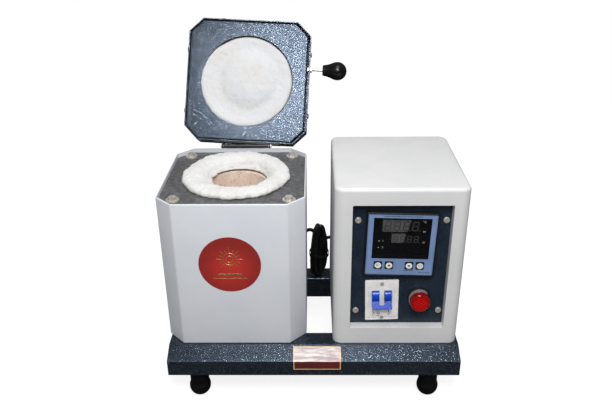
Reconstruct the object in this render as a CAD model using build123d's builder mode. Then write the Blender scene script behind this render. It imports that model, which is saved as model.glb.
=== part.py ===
from build123d import *
import math
import os

# An electric gold melting furnace: a square furnace housing with a hinged lid and a control box,
# bolted side by side across two folded rails on ball feet. The lid stands open.
# Millimetres, +Z up, the front towards -Y, the floor at Z = 0.

os.makedirs("parts", exist_ok=True)

# ---- Clearances ----
slip = 0.3  # between pieces that move past each other
running = 0.05  # radial, a pin in its bore
drop_in = 0.4  # around a plate inside its frame
screw_grip = 4.0  # how far a screw runs on past the sheets that it holds

# ---- Round-headed screws: head radius, head height, shank radius ----
side_screw = (3.8, 2.2, 2.0)
face_screw = (4.3, 2.6, 2.0)
rear_screw = (3.0, 1.8, 1.5)
cover_screw = (2.8, 1.4, 1.5)
screw_slot = 0.24  # the slot's width as a share of the head's radius
screw_dome = 0.45  # the rounding and the slot's depth as shares of the head's height

# ---- Base: two rails, each folded from sheet, on four ball feet ----
rail_length = 416.0
rail_flat = 28.4
rail_slope_run = 24.1
rail_slope_drop = 11.9
rail_face = 25.5
rail_flange = 36.0
rail_sheet = 2.0
rail_bend = 2.5
base_depth = 253.0  # front face to rear face
base_y = -55.0
ball_radius = 15.5
ball_flat_up = 0.6  # the worn flat under each ball
foot_height = 45.0
foot_neck_radius = 13.5
foot_stud_radius = 4.0
foot_stud_up = 12.0
foot_nut_height = 6.5
foot_nut_radius = 7.5
foot_spread = 334.0
foot_in = 18.5  # from a rail's outer face to the middle of its feet
housing_bolt_in = 41.5
housing_bolt_radius = 2.5
housing_bolt_spread = 120.0
bolt_head_radius = 4.6
bolt_head_height = 3.5
weld_nut_height = 4.5

plate_width = 68.0
plate_up_slope = 23.0
plate_down_face = 14.0
plate_sheet = 0.6
plate_x = 5.1

# ---- Furnace housing ----
furnace_x = -110.2
furnace_y = -53.0
casing_width = 200.5
casing_depth = 204.0
casing_height = 222.3
casing_corner = 23.4
casing_sheet = 1.5
rim_depth = 6.3  # from the rim down to the top plate
top_plate_sheet = 1.5
ledge_width = 9.0
foot_flange = 14.0
bottom_plate_sheet = 2.0
mouth_hole_radius = 70.0
rod_pattern_x = 156.0
rod_pattern_y = 158.0
rod_pattern_back = 3.0  # the pattern sits a little behind the middle
rod_radius = 3.0
rod_head_radius = 5.8
rod_head_height = 4.0
rod_nut_height = 5.0
washer_radius = 9.1
washer_sheet = 1.6

chamber_radius = 44.0
muffle_wall = 14.0
muffle_height = 179.5
floor_board_height = 24.5
hearth_height = 24.0
coil_wire_radius = 1.2
coil_pitch = 12.0
coil_turns = 13
blanket_radius = 92.0
blanket_below_plate = 1.5
brick_edge = 1.5
probe_collar_radius = 7.5
mouth_radius = 40.0
mouth_lip_radius = 77.5
mouth_lip_height = 10.8
throat_depth = 5.0  # the lip rolls in and meets the bore this far below the plate
probe_radius = 3.0
probe_into_chamber = 6.0
probe_turn = 6.5  # in turns of the coil, from its lower end
badge_radius = 42.5
badge_sheet = 0.4
badge_x = -113.3
badge_up = 131.5

# ---- Lid ----
lid_lean = 27.6  # past upright, at rest against its stops
lid_skew = 3.1  # clockwise on its hinge, seen from the front
lid_x = -109.5
lid_width = 188.0
lid_length = 190.0
lid_corner = 20.0
lid_depth = 40.0
tray_depth = 18.0
tray_sheet = 1.5
tray_bend = 2.5
pan_sheet = 1.5
pan_gap_left = 0.6
pan_gap_right = 2.8
pan_gap_hinge = 0.3
pan_gap_free = 1.6
pan_below_face = 1.0
pan_bend = 3.0
lid_hole_radius = 72.5
pad_recess = 5.0
pad_dome_radius = 50.0
pad_dome_height = 8.0
pad_root = 20.0
lid_blanket_clear = 4.0
lid_screw_up = (45.0, 143.0)
lid_screw_across = (-43.0, 43.0)
lid_screw_behind = 9.0
handle_up = 125.5
handle_behind = 34.0
handle_radius = 2.0
handle_reach = 20.5
handle_nut_radius = 5.0
handle_nut_height = 3.0
knob_length = 39.5
knob_radius = 14.8
knob_neck_radius = 8.5
knob_neck_edge = 1.0
rod_into_knob = 21.6

# ---- Hinge ----
hinge_x = -105.5
hinge_behind = 3.7  # from the housing's rear face to the pin
hinge_above = 2.0  # from the rim up to the pin
lid_edge_ahead = 9.2  # from the pin to the lid face's hinge edge, with the lid shut
lid_face_above = 1.7  # from the pin up to the lid's face, with the lid shut
barrel_radius = 3.2
barrel_length = 70.4
pin_radius = 1.75
ear_sheet = 2.5
ear_radius = 3.8
leaf_sheet = 1.5
ear_gap = 0.4  # from the barrel's end to each ear
lid_leaf_length = 120.0
lid_leaf_height = 24.0
lid_leaf_below = 3.0
body_leaf_length = 60.0
body_leaf_height = 36.0
body_leaf_below = 1.5  # from the pin down to the leaf's upper edge
lid_leaf_corner = 8.0
ear_short = 4.0  # the ears stop this far short of the leaf's rear edge
leaf_screw_spread = 29.5
body_screw_spread = 15.0
body_screw_up = (-9.0, 5.0)
stop_arm_x = 23.25  # from the hinge's middle to each stop arm
stop_arm_sheet = 2.5
stop_arm_near = 12.0  # from the lid's face back to where each arm first bears
stop_arm_far = 26.0
stop_arm_clear = 6.0  # the arms pass this far behind the leaf, under the open lid's edge
stop_arm_drop = 8.0
pin_head_height = 2.0

# ---- Control box ----
box_x = 116.7
box_y = -54.5
box_width = 178.0
box_depth = 200.0
box_height = 243.4
box_corner = 13.0
box_top_radius = 5.0
box_sheet = 1.5
opening_width = 132.3
opening_height = 192.5
opening_up = 123.25  # middle of the opening above the rails
opening_right = 1.15
opening_corner = 2.0
recess_depth = 12.0
panel_sheet = 2.0
panel_lip = 14.0
rear_lip = 10.0  # carries the rear panel round its edge
rear_panel_sheet = 1.5
rear_corner = 4.0
vent_up = 58.7
vent_spacing = (30.0, 9.0)
vent_count = (4, 5)
vent_size = (24.0, 3.5)
panel_screw_x = 117.2
panel_screw_z = 143.5
panel_screw_up = 121.3
panel_screw_right = 1.9

meter_x = 117.6
meter_up = 158.9
meter_tilt = 1.5  # clockwise
meter_size = 96.0
meter_body = 90.5
meter_body_depth = 78.0
bezel_depth = 9.0
bezel_corner = 2.0
bezel_edge = 1.2
film_size = 91.6
film_sheet = 0.5
film_recess = 0.8
film_corner = 1.4
window_width = 77.0
window_height = 61.5
window_up = 10.0
window_sheet = 1.6
window_pocket = 10.0
module_depth = 7.0
upper_module = (50.5, 17.0, -0.6, 27.3)  # width, height, its middle right of and above the meter's
lower_module = (38.0, 11.5, 6.3, 7.8)
key_size = 11.0
key_across = (-29.1, -13.9, 13.3, 28.2)
key_down = 30.8
key_names = ("key_set", "key_up", "key_down", "key_enter")
key_proud = 1.2
key_pocket = 6.0
key_flange = 0.8  # how far the flange under each cap stands out, and keeps it in
key_flange_sheet = 1.0
key_corner = 1.2
key_edge = 0.4
key_stem = 4.0
clamp_width = 5.0
clamp_height = 30.0
clamp_depth = 40.0

switch_x = 96.4
switch_up = 66.9
switch_tilt = 1.7  # counter-clockwise
cover_width = 47.0
cover_height = 66.0
cover_sheet = 2.5
cover_corner = 1.5
cover_edge = 0.8
cover_screw_thread = 8.0
nose_width = 35.4
nose_height = 44.6
breaker_height = 82.0
breaker_depth = 54.0
lever_up = 7.0
lever_sink = 4.0
lever_drum_radius = 9.6
lever_width = 10.0
lever_spread = 17.5
lever_length = 21.0
lever_thick = 4.0
lever_droop = 52.0  # below level when off
lever_shaft_radius = 1.5
lever_shaft_length = 30.0
bar_width = 27.5
bar_height = 6.5
bar_length = 6.0
cover_screw_up = 28.0

lamp_x = 148.7
lamp_up = 70.5
lamp_base_radius = 16.2
lamp_base_height = 3.0
lamp_collar_radius = 15.0
lamp_collar_height = 5.0
lens_radius = 14.0
lens_proud = 17.0
lens_edge = 3.0
lamp_thread_radius = 11.0
lamp_thread_length = 32.0
lamp_nut_radius = 15.5
lamp_nut_height = 4.0

relay_width = 45.0
relay_height = 60.0
relay_depth = 27.0
relay_up = 95.0  # middle of the relay above the rails

# ---- Mains lead ----
cord_radius = 3.0
gland_x = 84.0
gland_up = 34.0
gland_radius = 9.0
gland_thread_radius = 6.0
gland_dome_radius = 7.6
gland_tip_radius = 5.2
gland_flange = 4.0
gland_nose = 20.0  # a tapered sleeve that keeps the cord from kinking
hank_depth = 28.0
hank_foot = 36.0  # its width where it stands on the rail
hank_left = 12.0  # from the middle of the gap to its sides
hank_right = 16.0
hank_height = 104.0
hank_corner = 4.0
plug_length = 42.0
plug_width = 38.0
plug_height = 24.0
plug_relief = 20.0  # the sleeve on the plug, likewise
plug_neck_radius = 4.9
plug_root_radius = 7.0
plug_corner = 6.0
plug_edge = 2.0
plug_pin_radius = 2.5
plug_pin_length = 19.0
plug_pin_places = ((-9.5, -4.0), (9.5, -4.0), (0.0, 6.5))

# ---- Places worked out from the sizes above ----
rail_height = rail_face + rail_slope_drop
rail_depth = rail_flat + rail_slope_run
deck_z = foot_height + rail_height
base_front_y = base_y - base_depth / 2
base_rear_y = base_y + base_depth / 2
bolt_rows = (base_front_y + housing_bolt_in, base_rear_y - housing_bolt_in)
foot_rows = (base_front_y + foot_in, base_rear_y - foot_in)

casing_front_y = furnace_y - casing_depth / 2
casing_rear_y = furnace_y + casing_depth / 2
rim_z = deck_z + casing_height
plate_top_z = rim_z - rim_depth
plate_under_z = plate_top_z - top_plate_sheet
bottom_plate_z = deck_z + casing_sheet
floor_board_z = bottom_plate_z + bottom_plate_sheet
hearth_z = floor_board_z + floor_board_height
muffle_radius = chamber_radius + muffle_wall
coil_radius = muffle_radius + slip + coil_wire_radius
blanket_bore = coil_radius + coil_wire_radius + slip
coil_z = hearth_z + coil_wire_radius + slip
probe_z = coil_z + coil_pitch * (probe_turn + 0.25)

hinge_y = casing_rear_y + hinge_behind
hinge_z = rim_z + hinge_above
lean = math.radians(lid_lean)
lid_edge_y = hinge_y + lid_edge_ahead * math.sin(lean) + lid_face_above * math.cos(lean)
lid_edge_z = hinge_z + lid_edge_ahead * math.cos(lean) - lid_face_above * math.sin(lean)
pan_left = -lid_width / 2 - pan_gap_left - pan_sheet
pan_right = lid_width / 2 + pan_gap_right + pan_sheet
pan_hinge = -pan_gap_hinge - pan_sheet
pan_free = lid_length + pan_gap_free + pan_sheet

box_front_y = box_y - box_depth / 2
box_rear_y = box_y + box_depth / 2
panel_y = box_front_y + recess_depth
opening_x = box_x + opening_right
rear_plate_y = box_rear_y + rear_panel_sheet
gap_x = (furnace_x + casing_width / 2 + box_x - box_width / 2) / 2


# ---- Planes ----
def level(x, y, z):
    return Plane(origin=(x, y, z), z_dir=(0, 0, 1))


def facing(x, y, z):
    # upright, its outside towards the front
    return Plane(origin=(x, y, z), x_dir=(1, 0, 0), z_dir=(0, -1, 0))


def backing(x, y, z):
    # upright, its outside towards the rear
    return Plane(origin=(x, y, z), x_dir=(-1, 0, 0), z_dir=(0, 1, 0))


def turned(plane, degrees):
    # the same plane, turned about its own outward axis
    angle = math.radians(degrees)
    along = plane.x_dir * math.cos(angle) + plane.y_dir * math.sin(angle)
    return Plane(origin=plane.origin, x_dir=along, z_dir=plane.z_dir)


def across(plane, x, y, z, out, along):
    # a plane at a point of another plane's own coordinates
    return Plane(origin=plane.from_local_coords((x, y, z)), x_dir=along, z_dir=out)


# the open lid: across, up the lid, and out of its face
upright_lid = Plane(
    origin=(lid_x, lid_edge_y, lid_edge_z),
    x_dir=(1, 0, 0),
    z_dir=(0, -math.cos(lean), math.sin(lean)),
)
lid = turned(upright_lid, -lid_skew)
meter = turned(facing(meter_x, panel_y, deck_z + meter_up), -meter_tilt)
switch = turned(facing(switch_x, panel_y, deck_z + switch_up), switch_tilt)
lamp = facing(lamp_x, panel_y, deck_z + lamp_up)


# ---- Shapes that repeat ----
def disc(plane, radius, x=0.0, y=0.0):
    with BuildSketch(plane) as outline:
        with Locations((x, y)):
            Circle(radius)
    return outline.sketch


def washer_face(plane, outer, inner):
    with BuildSketch(plane) as outline:
        Circle(outer)
        Circle(inner, mode=Mode.SUBTRACT)
    return outline.sketch


def hexagon(plane, radius):
    with BuildSketch(plane) as outline:
        RegularPolygon(radius, 6)
    return outline.sketch


def block(plane, width, height, x=0.0, y=0.0, corner=0.0):
    with BuildSketch(plane) as outline:
        with Locations((x, y)):
            if corner:
                RectangleRounded(width, height, corner)
            else:
                Rectangle(width, height)
    return outline.sketch


def octagon(plane, width, depth, corner, inset=0.0, x=0.0, y=0.0):
    # a rectangle with its corners cut, drawn in from its edge by the inset
    with BuildSketch(plane) as outline:
        with Locations((x, y)):
            Rectangle(width, depth)
        chamfer(outline.vertices(), corner)
        if inset:
            offset(amount=-inset, kind=Kind.INTERSECTION)
    return outline.sketch


def soft_block(plane, width, depth, height, corner, top_radius):
    with BuildPart() as shape:
        with BuildSketch(plane):
            RectangleRounded(width, depth, corner)
        extrude(amount=height)
        fillet(shape.faces().sort_by(Axis.Z)[-1].edges(), top_radius)
    return shape.part


def pan_screw(seat, head_radius, head_height, shank_radius, shank_length):
    # a round head standing on its seat, with a crossed slot, and the shank behind it
    slot = head_radius * screw_slot
    with BuildPart() as screw:
        with BuildSketch(seat):
            Circle(head_radius)
        extrude(amount=head_height)
        outward = Axis(seat.origin, seat.z_dir)
        fillet(screw.faces().sort_by(outward)[-1].edges(), head_height * screw_dome)
        with BuildSketch(seat):
            Circle(shank_radius)
        extrude(amount=-shank_length)
        with BuildSketch(seat.offset(head_height)):
            Rectangle(head_radius, slot)
            Rectangle(slot, head_radius)
        extrude(amount=-head_height * screw_dome, mode=Mode.SUBTRACT)
    return screw.part


def hex_bolt(seat, head_radius, head_height, shank_radius, shank_length):
    with BuildPart() as bolt:
        with BuildSketch(seat):
            RegularPolygon(head_radius, 6)
        extrude(amount=head_height)
        with BuildSketch(seat):
            Circle(shank_radius)
        extrude(amount=-shank_length)
    return bolt.part


def corners(width, depth):
    return [(x, y) for x in (-width / 2, width / 2) for y in (-depth / 2, depth / 2)]


def save(piece, name):
    piece.part.label = name
    export_step(piece.part, f"parts/{name}.step")


# ---- Base ----
def rail_outline(x=0.0, grow=0.0):
    front, back = base_front_y, base_front_y + rail_depth
    with BuildSketch(Plane(origin=(x, 0, 0), x_dir=(0, 1, 0), z_dir=(1, 0, 0))) as outline:
        with BuildLine():
            Polyline(
                (back, foot_height),
                (back, deck_z),
                (front + rail_slope_run, deck_z),
                (front, deck_z - rail_slope_drop),
                (front, foot_height),
                close=True,
            )
        make_face()
        fillet(outline.vertices(), rail_bend)
        if grow:
            offset(amount=grow)
    return outline.sketch


housing_bolt_x = [x + side * housing_bolt_spread / 2 for x in (furnace_x, box_x) for side in (-1, 1)]

with BuildPart() as front_rail:
    extrude(rail_outline(), amount=rail_length / 2, both=True)
    hollow = rail_outline(grow=-rail_sheet)
    extrude(hollow, amount=rail_length / 2 - rail_sheet, both=True, mode=Mode.SUBTRACT)
    slot_from = base_front_y + rail_flange
    slot_to = base_front_y + rail_depth - rail_sheet
    with BuildSketch(level(0, (slot_from + slot_to) / 2, foot_height)) as underside:
        Rectangle(rail_length - 2 * rail_sheet, slot_to - slot_from)
    extrude(underside.sketch, amount=rail_sheet + slip, mode=Mode.SUBTRACT)
    for x in (-foot_spread / 2, foot_spread / 2):
        hole = disc(level(x, foot_rows[0], foot_height), foot_stud_radius)
        extrude(hole, amount=rail_sheet, mode=Mode.SUBTRACT)
    for x in housing_bolt_x:
        hole = disc(level(x, bolt_rows[0], deck_z), housing_bolt_radius)
        extrude(hole, amount=-rail_sheet, mode=Mode.SUBTRACT)
save(front_rail, "front_rail")

with BuildPart() as rear_rail:
    mirror(front_rail.part, about=backing(0, base_y, 0))
save(rear_rail, "rear_rail")

with BuildPart() as ball_foot:
    with BuildSketch(Plane.XZ) as profile:
        with Locations((0, ball_radius - ball_flat_up)):
            Circle(ball_radius)
        with Locations((0, foot_height / 2)):
            Rectangle(2 * ball_radius, foot_height, mode=Mode.INTERSECT)
        with Locations((0, (ball_radius + foot_height) / 2)):
            Rectangle(2 * foot_neck_radius, foot_height - ball_radius)
        with Locations((0, foot_height + foot_stud_up / 2)):
            Rectangle(2 * foot_stud_radius, foot_stud_up)
        with Locations((-ball_radius, foot_height)):
            Rectangle(2 * ball_radius, 4 * foot_height, mode=Mode.SUBTRACT)
    revolve(profile.sketch, axis=Axis.Z)

with BuildPart() as feet:
    for y in foot_rows:
        with Locations((-foot_spread / 2, y, 0), (foot_spread / 2, y, 0)):
            add(ball_foot.part)
save(feet, "feet")

with BuildPart() as foot_nuts:
    for y in foot_rows:
        for x in (-foot_spread / 2, foot_spread / 2):
            seat = level(x, y, foot_height + rail_sheet)
            extrude(hexagon(seat, foot_nut_radius), amount=foot_nut_height)
            extrude(disc(seat, foot_stud_radius), amount=foot_nut_height, mode=Mode.SUBTRACT)
save(foot_nuts, "foot_nuts")

with BuildPart() as name_plate:
    slope = math.atan2(rail_slope_drop, rail_slope_run)
    fold_z = deck_z - rail_slope_drop
    top_y = base_front_y + plate_up_slope * math.cos(slope)
    with BuildSketch(Plane(origin=(plate_x, 0, 0), x_dir=(0, 1, 0), z_dir=(1, 0, 0))) as reach:
        with BuildLine():
            Polyline(
                (base_front_y - 2 * plate_sheet, fold_z - plate_down_face),
                (base_front_y + plate_sheet, fold_z - plate_down_face),
                (base_front_y + plate_sheet, fold_z),
                (top_y, fold_z + plate_up_slope * math.sin(slope) - plate_sheet),
                (top_y, deck_z + plate_sheet),
                (base_front_y - 2 * plate_sheet, deck_z + plate_sheet),
                close=True,
            )
        make_face()
    extrude(rail_outline(plate_x, plate_sheet), amount=plate_width / 2, both=True)
    extrude(rail_outline(plate_x), amount=plate_width / 2, both=True, mode=Mode.SUBTRACT)
    extrude(reach.sketch, amount=plate_width / 2, both=True, mode=Mode.INTERSECT)
save(name_plate, "name_plate")

with BuildPart() as housing_bolts:
    for y in bolt_rows:
        for x in housing_bolt_x:
            seat = Plane(origin=(x, y, deck_z - rail_sheet), z_dir=(0, 0, -1))
            shank = rail_sheet + casing_sheet + bottom_plate_sheet + weld_nut_height
            if x > gap_x:
                shank = rail_sheet + box_sheet + weld_nut_height
            add(hex_bolt(seat, bolt_head_radius, bolt_head_height, housing_bolt_radius, shank))
save(housing_bolts, "housing_bolts")


# ---- Furnace housing ----
def casing_outline(z, inset=0.0):
    return octagon(level(furnace_x, furnace_y, z), casing_width, casing_depth, casing_corner, inset)


furnace_bolts = [(x, y) for x in housing_bolt_x if x < gap_x for y in bolt_rows]
box_bolts = [(x, y) for x in housing_bolt_x if x > gap_x for y in bolt_rows]
rods = [
    (furnace_x + x, furnace_y + rod_pattern_back + y) for x, y in corners(rod_pattern_x, rod_pattern_y)
]

leaf_top = hinge_z - body_leaf_below
leaf_middle = leaf_top - body_leaf_height / 2
body_screw_seats = [
    backing(hinge_x + x, casing_rear_y + leaf_sheet, leaf_middle + z)
    for x in (-body_screw_spread, body_screw_spread)
    for z in body_screw_up
]

with BuildPart() as furnace_casing:
    extrude(casing_outline(deck_z), amount=casing_height)
    extrude(
        casing_outline(bottom_plate_z, casing_sheet),
        amount=plate_under_z - casing_sheet - bottom_plate_z,
        mode=Mode.SUBTRACT,
    )
    extrude(casing_outline(deck_z, casing_sheet + foot_flange), amount=casing_sheet, mode=Mode.SUBTRACT)
    extrude(
        casing_outline(plate_under_z, casing_sheet + ledge_width),
        amount=-casing_sheet,
        mode=Mode.SUBTRACT,
    )
    extrude(casing_outline(plate_under_z, casing_sheet), amount=rim_z - plate_under_z, mode=Mode.SUBTRACT)
    for x, y in furnace_bolts:
        hole = disc(level(x, y, deck_z), housing_bolt_radius)
        extrude(hole, amount=casing_sheet, mode=Mode.SUBTRACT)
    for x, y in rods:
        hole = disc(level(x, y, plate_under_z), rod_radius + slip)
        extrude(hole, amount=-casing_sheet, mode=Mode.SUBTRACT)
    for seat in body_screw_seats:
        hole = disc(seat, side_screw[2])
        extrude(hole, amount=-leaf_sheet - casing_sheet, mode=Mode.SUBTRACT)
save(furnace_casing, "furnace_casing")

with BuildPart() as furnace_bottom_plate:
    extrude(casing_outline(bottom_plate_z, casing_sheet + drop_in), amount=bottom_plate_sheet)
    for x, y in rods:
        extrude(hexagon(level(x, y, floor_board_z), rod_head_radius), amount=rod_nut_height)
    for x, y in furnace_bolts:
        extrude(hexagon(level(x, y, floor_board_z), bolt_head_radius), amount=weld_nut_height)
    for x, y in rods:
        hole = disc(level(x, y, bottom_plate_z), rod_radius)
        extrude(hole, amount=bottom_plate_sheet + rod_nut_height, mode=Mode.SUBTRACT)
    for x, y in furnace_bolts:
        hole = disc(level(x, y, bottom_plate_z), housing_bolt_radius)
        extrude(hole, amount=bottom_plate_sheet + weld_nut_height, mode=Mode.SUBTRACT)
save(furnace_bottom_plate, "furnace_bottom_plate")

with BuildPart() as top_plate:
    extrude(casing_outline(plate_under_z, casing_sheet + drop_in), amount=top_plate_sheet)
    mouth = disc(level(furnace_x, furnace_y, plate_under_z), mouth_hole_radius)
    extrude(mouth, amount=top_plate_sheet, mode=Mode.SUBTRACT)
    for x, y in rods:
        hole = disc(level(x, y, plate_under_z), rod_radius)
        extrude(hole, amount=top_plate_sheet, mode=Mode.SUBTRACT)
save(top_plate, "top_plate")

with BuildPart() as tie_rods:
    for x, y in rods:
        seat = level(x, y, plate_top_z + washer_sheet)
        shank = seat.origin.Z - bottom_plate_z
        add(hex_bolt(seat, rod_head_radius, rod_head_height, rod_radius, shank))
save(tie_rods, "tie_rods")

with BuildPart() as tie_rod_washers:
    for x, y in rods:
        extrude(washer_face(level(x, y, plate_top_z), washer_radius, rod_radius), amount=washer_sheet)
save(tie_rod_washers, "tie_rod_washers")

with BuildPart() as floor_board:
    extrude(disc(level(furnace_x, furnace_y, floor_board_z), blanket_radius), amount=floor_board_height)
save(floor_board, "floor_board")

with BuildPart() as hearth_brick:
    extrude(disc(level(furnace_x, furnace_y, hearth_z), chamber_radius - slip), amount=hearth_height)
    fillet(hearth_brick.faces().sort_by(Axis.Z)[-1].edges(), brick_edge)
save(hearth_brick, "hearth_brick")

probe_axis = backing(furnace_x, furnace_y, probe_z)
probe_start = chamber_radius - probe_into_chamber
probe_end = casing_depth / 2 - casing_sheet

with BuildPart() as muffle:
    wall = washer_face(level(furnace_x, furnace_y, hearth_z), muffle_radius, chamber_radius)
    extrude(wall, amount=muffle_height)
    chamfer(muffle.faces().sort_by(Axis.Z)[-1].edges(), brick_edge)
    extrude(disc(probe_axis, probe_radius), amount=muffle_radius + slip, mode=Mode.SUBTRACT)
save(muffle, "muffle")

with BuildPart() as heating_coil:
    with BuildLine() as winding:
        Helix(coil_pitch, coil_pitch * coil_turns, coil_radius, center=(furnace_x, furnace_y, coil_z))
    with BuildSketch(Plane(origin=winding.line @ 0, z_dir=winding.line % 0)) as wire:
        Circle(coil_wire_radius)
    sweep(wire.sketch, path=winding.line, is_frenet=True)
save(heating_coil, "heating_coil")

with BuildPart() as insulation_blanket:
    wall = washer_face(level(furnace_x, furnace_y, hearth_z), blanket_radius, blanket_bore)
    extrude(wall, amount=plate_under_z - blanket_below_plate - hearth_z)
    extrude(disc(probe_axis, probe_radius), amount=blanket_radius + slip, mode=Mode.SUBTRACT)
save(insulation_blanket, "insulation_blanket")

with BuildPart() as thermocouple:
    extrude(disc(probe_axis.offset(probe_start), probe_radius), amount=probe_end - probe_start)
    collar_from = blanket_radius + slip
    extrude(disc(probe_axis.offset(collar_from), probe_collar_radius), amount=probe_end - collar_from)
save(thermocouple, "thermocouple")

# the fibre collar round the mouth: a plug through the plate's hole, rolled out over the plate
with BuildPart() as mouth_ring:
    with BuildSketch(facing(furnace_x, furnace_y, plate_top_z)) as roll:
        lip_width = mouth_lip_radius - mouth_radius
        foot = hearth_z + muffle_height + slip - plate_top_z
        step = -top_plate_sheet - blanket_below_plate + slip
        plug_radius = blanket_bore - slip
        neck_radius = mouth_hole_radius - slip
        with BuildLine():
            Polyline(
                (mouth_radius, -throat_depth),
                (mouth_radius, foot),
                (plug_radius, foot),
                (plug_radius, step),
                (neck_radius, step),
                (neck_radius, slip),
                (mouth_radius + 0.93 * lip_width, slip),
            )
            Spline(
                (mouth_radius + 0.93 * lip_width, slip),
                (mouth_radius + lip_width, 0.3 * mouth_lip_height),
                (mouth_radius + 0.87 * lip_width, 0.66 * mouth_lip_height),
                (mouth_radius + 0.69 * lip_width, 0.89 * mouth_lip_height),
                (mouth_radius + 0.48 * lip_width, mouth_lip_height),
                (mouth_radius + 0.27 * lip_width, 0.5 * mouth_lip_height),
                (mouth_radius + 0.05 * lip_width, -0.25 * throat_depth),
                (mouth_radius, -throat_depth),
            )
        make_face()
    revolve(roll.sketch, axis=Axis((furnace_x, furnace_y, 0), (0, 0, 1)))
save(mouth_ring, "mouth_ring")

with BuildPart() as badge:
    extrude(disc(facing(badge_x, casing_front_y, deck_z + badge_up), badge_radius), amount=badge_sheet)
save(badge, "badge")


# ---- Lid ----
def lid_outline(behind, inset=0.0):
    plane = lid.offset(-behind)
    return octagon(plane, lid_width, lid_length, lid_corner, inset, y=lid_length / 2)


def pan_outline(behind, inset=0.0):
    width, length = pan_right - pan_left, pan_free - pan_hinge
    corner = lid_corner + pan_sheet
    middle_x, middle_y = (pan_right + pan_left) / 2, (pan_free + pan_hinge) / 2
    return octagon(lid.offset(-behind), width, length, corner, inset, middle_x, middle_y)


out_of_lid = Axis(lid.origin, lid.z_dir)
side_seats = []
for up in lid_screw_up:
    side_seats.append(across(lid, pan_right, up, -lid_screw_behind, lid.x_dir, lid.y_dir))
    side_seats.append(across(lid, pan_left, up, -lid_screw_behind, -lid.x_dir, lid.y_dir))
for x in lid_screw_across:
    side_seats.append(across(lid, x, pan_free, -lid_screw_behind, lid.y_dir, lid.x_dir))
handle_seat = across(lid, pan_right, handle_up, -handle_behind, lid.x_dir, lid.y_dir)
leaf_seats = [
    across(lid, hinge_x - lid_x + x, pan_hinge - leaf_sheet, -lid_leaf_below - lid_leaf_height / 2,
           -lid.y_dir, lid.x_dir)
    for x in (-leaf_screw_spread, 0.0, leaf_screw_spread)
]

with BuildPart() as lid_pan:
    extrude(pan_outline(lid_depth), amount=lid_depth - pan_below_face)
    fillet(lid_pan.faces().sort_by(out_of_lid)[0].edges(), pan_bend)
    extrude(pan_outline(lid_depth - pan_sheet, pan_sheet), amount=lid_depth, mode=Mode.SUBTRACT)
    for seat in side_seats:
        extrude(disc(seat, side_screw[2]), amount=-pan_sheet, mode=Mode.SUBTRACT)
    for seat in leaf_seats:
        extrude(disc(seat, side_screw[2]), amount=-leaf_sheet - pan_sheet, mode=Mode.SUBTRACT)
    extrude(disc(handle_seat, handle_radius), amount=-pan_sheet, mode=Mode.SUBTRACT)
save(lid_pan, "lid_pan")

with BuildPart() as lid_face_plate:
    extrude(lid_outline(tray_depth), amount=tray_depth)
    fillet(lid_face_plate.faces().sort_by(out_of_lid)[-1].edges(), tray_bend)
    extrude(lid_outline(tray_depth, tray_sheet), amount=tray_depth - tray_sheet, mode=Mode.SUBTRACT)
    hole = disc(lid, lid_hole_radius, y=lid_length / 2)
    extrude(hole, amount=-tray_sheet, mode=Mode.SUBTRACT)
    for seat in side_seats + leaf_seats:
        extrude(disc(seat, side_screw[2]), amount=-tray_depth / 2, mode=Mode.SUBTRACT)
save(lid_face_plate, "lid_face_plate")

with BuildPart() as lid_blanket:
    slab = lid_outline(lid_depth - pan_sheet - slip, lid_blanket_clear)
    extrude(slab, amount=lid_depth - pan_sheet - 2 * slip - pad_root)
save(lid_blanket, "lid_blanket")

with BuildPart() as lid_pad:
    pad_axis = lid.from_local_coords((0, lid_length / 2, 0))
    pad_plane = Plane(origin=pad_axis, x_dir=lid.x_dir, z_dir=-lid.y_dir)
    with BuildSketch(pad_plane) as dish:
        crown = pad_dome_height - pad_recess
        with BuildLine():
            Polyline((0, crown), (0, -pad_root), (lid_hole_radius - slip, -pad_root))
            Line((lid_hole_radius - slip, -pad_root), (lid_hole_radius - slip, -pad_recess - 1))
            Spline(
                (lid_hole_radius - slip, -pad_recess - 1),
                (lid_hole_radius - 6, -pad_recess),
                (pad_dome_radius + 3, -pad_recess - 0.5),
                (pad_dome_radius - 5, -pad_recess + 0.45 * pad_dome_height),
                (0.6 * pad_dome_radius, -pad_recess + 0.85 * pad_dome_height),
                (0, crown),
            )
        make_face()
    revolve(dish.sketch, axis=Axis(pad_axis, lid.z_dir))
save(lid_pad, "lid_pad")

with BuildPart() as lid_screws:
    for seat in side_seats:
        add(pan_screw(seat, *side_screw, pan_sheet + pan_gap_right + tray_sheet))
save(lid_screws, "lid_screws")

with BuildPart() as handle_rod:
    reach = handle_reach + rod_into_knob
    inside = pan_sheet + handle_nut_height
    extrude(disc(handle_seat.offset(-inside), handle_radius), amount=inside + reach)
save(handle_rod, "handle_rod")

with BuildPart() as handle_nuts:
    for seat in (handle_seat, handle_seat.offset(-pan_sheet - handle_nut_height)):
        extrude(hexagon(seat, handle_nut_radius), amount=handle_nut_height)
        extrude(disc(seat, handle_radius), amount=handle_nut_height, mode=Mode.SUBTRACT)
save(handle_nuts, "handle_nuts")

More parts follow.
